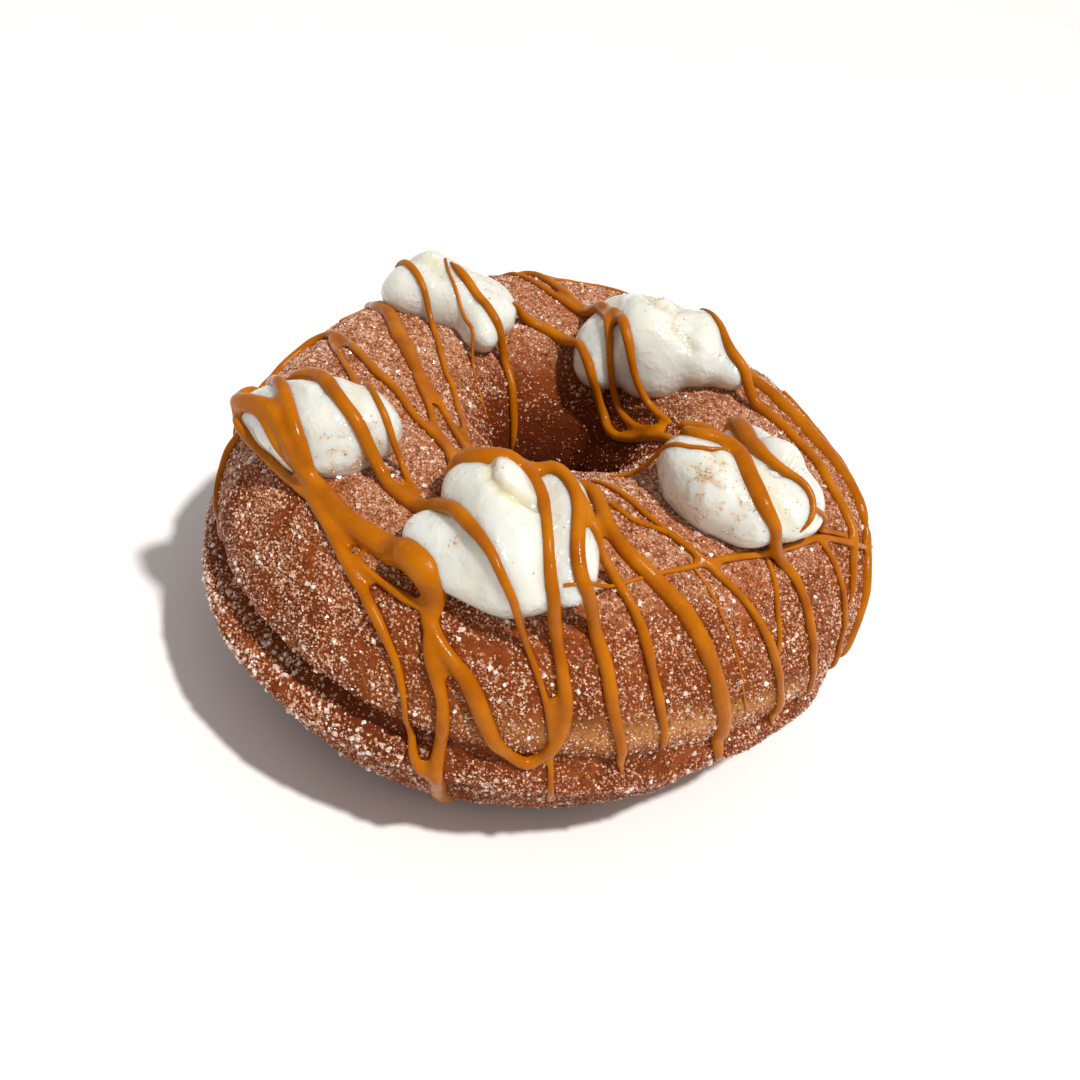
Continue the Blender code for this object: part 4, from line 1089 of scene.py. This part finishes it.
def grain_finish(name, dark, light):
    finish = Finish(name.replace("_", " "))
    tint = finish.ramp(finish.noise(0.8, 1.0), (0.36, 0.0), (0.64, 1.0))
    return finish.done({
        "Base Color": finish.mix(tint, dark, light), "Roughness": 0.18 + 0.3 * finish.noise(0.15, 2.0),
        "Specular IOR Level": 0.35, "Coat Weight": 0.2, "Coat Roughness": 0.08})


def open_share(dough, covers):
    """How free each corner of the dough is of what lies on it, from 0 to 1."""
    places, normals = corners_of(dough), normals_of(dough)
    free = np.ones(len(places))
    for spot, (place, off) in enumerate(zip(places, normals)):
        point, off = Vector(place), Vector(off)
        for tree in covers:
            found, normal = tree.ray_cast(point, off, COVER_REACH * MM)[:2]
            if found is not None and normal.dot(off) > 0:
                free[spot] = 0.0
                break
    free[normals[:, 2] < UNDERSIDE[0]] = UNDERSIDE[1]
    free[places[:, 2] < TABLE_GAP * MM] = 0.0
    return free


def share_out(bed, free):
    """Where on the dough each kind of grain lies."""
    mean, swing, least = PATCHINESS
    features = {name: attribute_values(bed, name) for name in (
        "groove", "pale", "crest", "lip", "hole", "side")}
    features["flank"] = features["side"] * (1 - FLANK_CREST * features["crest"])
    features["crown"] = features["crest"] ** 2
    patches = np.clip(mean + swing * uneven(corners_of(bed), PATCH * MM), least, 1)
    sugar, crust = free * patches, free
    for name, lost in SUGAR_LOST.items():
        sugar = sugar * (1 - lost * features[name])
    for name, lost in CRUST_LOST.items():
        crust = crust * (1 - lost * features[name])
    set_attribute(bed, "on_crust", crust)
    for where, (share, additions) in SUGARED.items():
        for name, more in additions.items():
            share = share + more * features[name]
        set_attribute(bed, where, sugar * np.clip(share, 0, 1))


def join_meshes(name, meshes):
    cage = bmesh.new()
    for mesh in meshes:
        cage.from_mesh(mesh)
    return mesh_of(cage, name)


# ---- the stage

def lay_floor(colour):
    mesh, reach = bpy.data.meshes.new("floor"), FLOOR_REACH
    mesh.from_pydata([(-reach, -reach, 0), (reach, -reach, 0), (reach, reach, 0), (-reach, reach, 0)],
                     [], [(0, 1, 2, 3)])
    finish = Finish("pale floor")
    clouds = finish.ramp(finish.noise(60.0, 3.0), (0.3, 0.0), (0.7, 0.04))
    paint = finish.mix(clouds, colour, FLOOR_CLOUD_COLOUR)
    mesh.materials.append(finish.done({"Base Color": paint, "Roughness": 0.6}))
    new_object("floor", mesh)


def light_room(scene, stage):
    key = bpy.data.lights.new("key", "AREA")
    key.shape, key.size = "DISK", stage.key_size
    key.energy, key.color = stage.key_power, stage.key_colour
    lamp = new_object("key", key)
    direction = Vector(KEY_DIRECTION).normalized()
    lamp.location = Vector(VIEW_TARGET) * MM + direction * KEY_DISTANCE
    lamp.rotation_euler = direction.to_track_quat("Z", "Y").to_euler()
    scene.world = bpy.data.worlds.new("soft room")
    scene.world.use_nodes = True
    glow = scene.world.node_tree.nodes["Background"].inputs
    glow["Color"].default_value, glow["Strength"].default_value = (*ROOM_COLOUR, 1), stage.fill_strength
    scene.view_settings.view_transform = "Standard"


def set_camera(scene):
    lens = bpy.data.cameras.new("camera")
    lens.lens, lens.sensor_width = VIEW_LENS, SENSOR
    lens.shift_x, lens.shift_y = VIEW_SHIFT
    lens.clip_start, lens.clip_end = VIEW_CLIP
    rise, roll = radians(VIEW_ELEVATION), radians(VIEW_ROLL)
    forward = Vector((0, cos(rise), -sin(rise)))
    right, up = Vector((1, 0, 0)), Vector((0, sin(rise), cos(rise)))
    across, upward = cos(roll) * right - sin(roll) * up, sin(roll) * right + cos(roll) * up
    turned = Matrix((across, upward, -forward)).transposed().to_4x4()
    turned.translation = (Vector(VIEW_TARGET) - forward * VIEW_DISTANCE) * MM
    scene.camera = new_object("camera", lens)
    scene.camera.matrix_world = turned


# ---- operators

def settings_of(context, name):
    return getattr(context.scene, "doughnut_" + name)


class DOUGHNUT_OT_stage(bpy.types.Operator):
    """Set the floor, the lights and the camera"""
    bl_idname = "doughnut.stage"
    bl_label = "Stage"

    def execute(self, context):
        stage = settings_of(context, "stage")
        lay_floor(stage.floor_colour)
        light_room(context.scene, stage)
        set_camera(context.scene)
        return {"FINISHED"}


class DOUGHNUT_OT_dough(bpy.types.Operator):
    """Bake the ring of dough with its crust"""
    bl_idname = "doughnut.dough"
    bl_label = "Dough"

    def execute(self, context):
        settings = settings_of(context, "dough")
        dough = make_dough(Ring(settings))
        dough.data.materials.append(dough_finish(settings))
        hand_over(dough, "sugared_dough", "sugared_ring")
        return {"FINISHED"}


class DOUGHNUT_OT_cream(bpy.types.Operator):
    """Spoon the dollops of cream onto the crest"""
    bl_idname = "doughnut.cream"
    bl_label = "Cream"

    def execute(self, context):
        settings, ring = settings_of(context, "cream"), Ring(settings_of(context, "dough"))
        finish = cream_finish(settings)
        for name in DOLLOPS:
            dollop = make_dollop(name, ring, settings)
            dollop.data.materials.append(finish)
            hand_over(dollop, "whipped_cream", name)
        return {"FINISHED"}


class DOUGHNUT_OT_caramel(bpy.types.Operator):
    """Pour the caramel over dough and cream"""
    bl_idname = "doughnut.caramel"
    bl_label = "Caramel"

    def execute(self, context):
        settings, objects = settings_of(context, "caramel"), context.scene.objects
        ring = Ring(settings_of(context, "dough"), plain=True)
        dough, *creams = (surface_tree(objects[name]) for name in (
            "sugared_dough", *("whipped_" + name for name in DOLLOPS)))
        finish, tubes = caramel_finish(settings), tube_group()
        for name, table, tip, sides, swell in (
                ("caramel_drizzle", STRANDS, DRIP_TIP, settings.sides, settings.swell),
                ("caramel_threads", THREADS, 1.0, THREAD_SIDES, 0.0)):
            routes = make_routes(name + "_routes", [
                lay_strand(ring, route, tip, dough, creams) for route in table.values()])
            item = new_object(name, bpy.data.meshes.new(name))
            item.data = grow(item, tubes, {
                "Route": routes, "Sides": sides, "Swell": swell, "Finish": finish})
            drop_object(routes)
            if table is STRANDS:
                run_together(item, settings)
            item.data.shade_smooth()
            hand_over(item, "caramel")
        return {"FINISHED"}


class DOUGHNUT_OT_grains(bpy.types.Operator):
    """Roll the dough in sugar and cinnamon"""
    bl_idname = "doughnut.grains"
    bl_label = "Sugar and Spice"

    def execute(self, context):
        settings, objects = settings_of(context, "grains"), context.scene.objects
        drizzle, dollops = objects["caramel_drizzle"], [objects["whipped_" + name] for name in DOLLOPS]
        crust = new_object("sugar_bed", objects["sugared_dough"].data.copy())
        share_out(crust.data, open_share(crust.data, [surface_tree(item) for item in (drizzle, *dollops)]))
        cream = new_object("speck_bed", join_meshes("speck_bed", [item.data for item in dollops]))
        group = scatter_group()
        for name, (shape, size, spread, density, where, dark, light, seed) in GRAINS.items():
            grain = make_grain(name + "_grain", shape, size * settings.size * MM)
            mesh = grow(cream if where == "specks" else crust, group, {
                "Grain": grain, "Clear Of": drizzle, "Clearance": settings.clearance, "Where": where,
                "Density": density * settings.amount / MM ** 2, "Spread": spread,
                "Stand": GRAIN_STAND * size * MM, "Seed": seed, "Finish": grain_finish(name, dark, light)})
            hand_over(new_object(name, mesh), "sugar")
            drop_object(grain)
        drop_object(crust)
        drop_object(cream)
        return {"FINISHED"}


OPERATORS = (DOUGHNUT_OT_stage, DOUGHNUT_OT_dough, DOUGHNUT_OT_cream, DOUGHNUT_OT_caramel,
             DOUGHNUT_OT_grains)


class DOUGHNUT_PT_panel(bpy.types.Panel):
    """The steps in order, with their sizes and colours"""
    bl_idname = "DOUGHNUT_PT_panel"
    bl_label = "Churro Doughnut"
    bl_space_type = "VIEW_3D"
    bl_region_type = "UI"
    bl_category = "Doughnut"

    def draw(self, context):
        for operator in OPERATORS:
            box = self.layout.box()
            box.operator(operator.bl_idname)
            group = settings_of(context, operator.bl_idname.split(".")[1])
            for name in group.__annotations__:
                box.prop(group, name)


def register():
    for name, group in SETTINGS.items():
        bpy.utils.register_class(group)
        setattr(bpy.types.Scene, "doughnut_" + name, PointerProperty(type=group))
    for item in (*OPERATORS, DOUGHNUT_PT_panel):
        bpy.utils.register_class(item)


def unregister():
    for item in reversed((*OPERATORS, DOUGHNUT_PT_panel)):
        bpy.utils.unregister_class(item)
    for name, group in SETTINGS.items():
        delattr(bpy.types.Scene, "doughnut_" + name)
        bpy.utils.unregister_class(group)


def main():
    register()
    for operator in OPERATORS:
        step = operator.bl_idname.split(".")[1]
        getattr(bpy.ops.doughnut, step)()


if __name__ == "__main__":
    main()
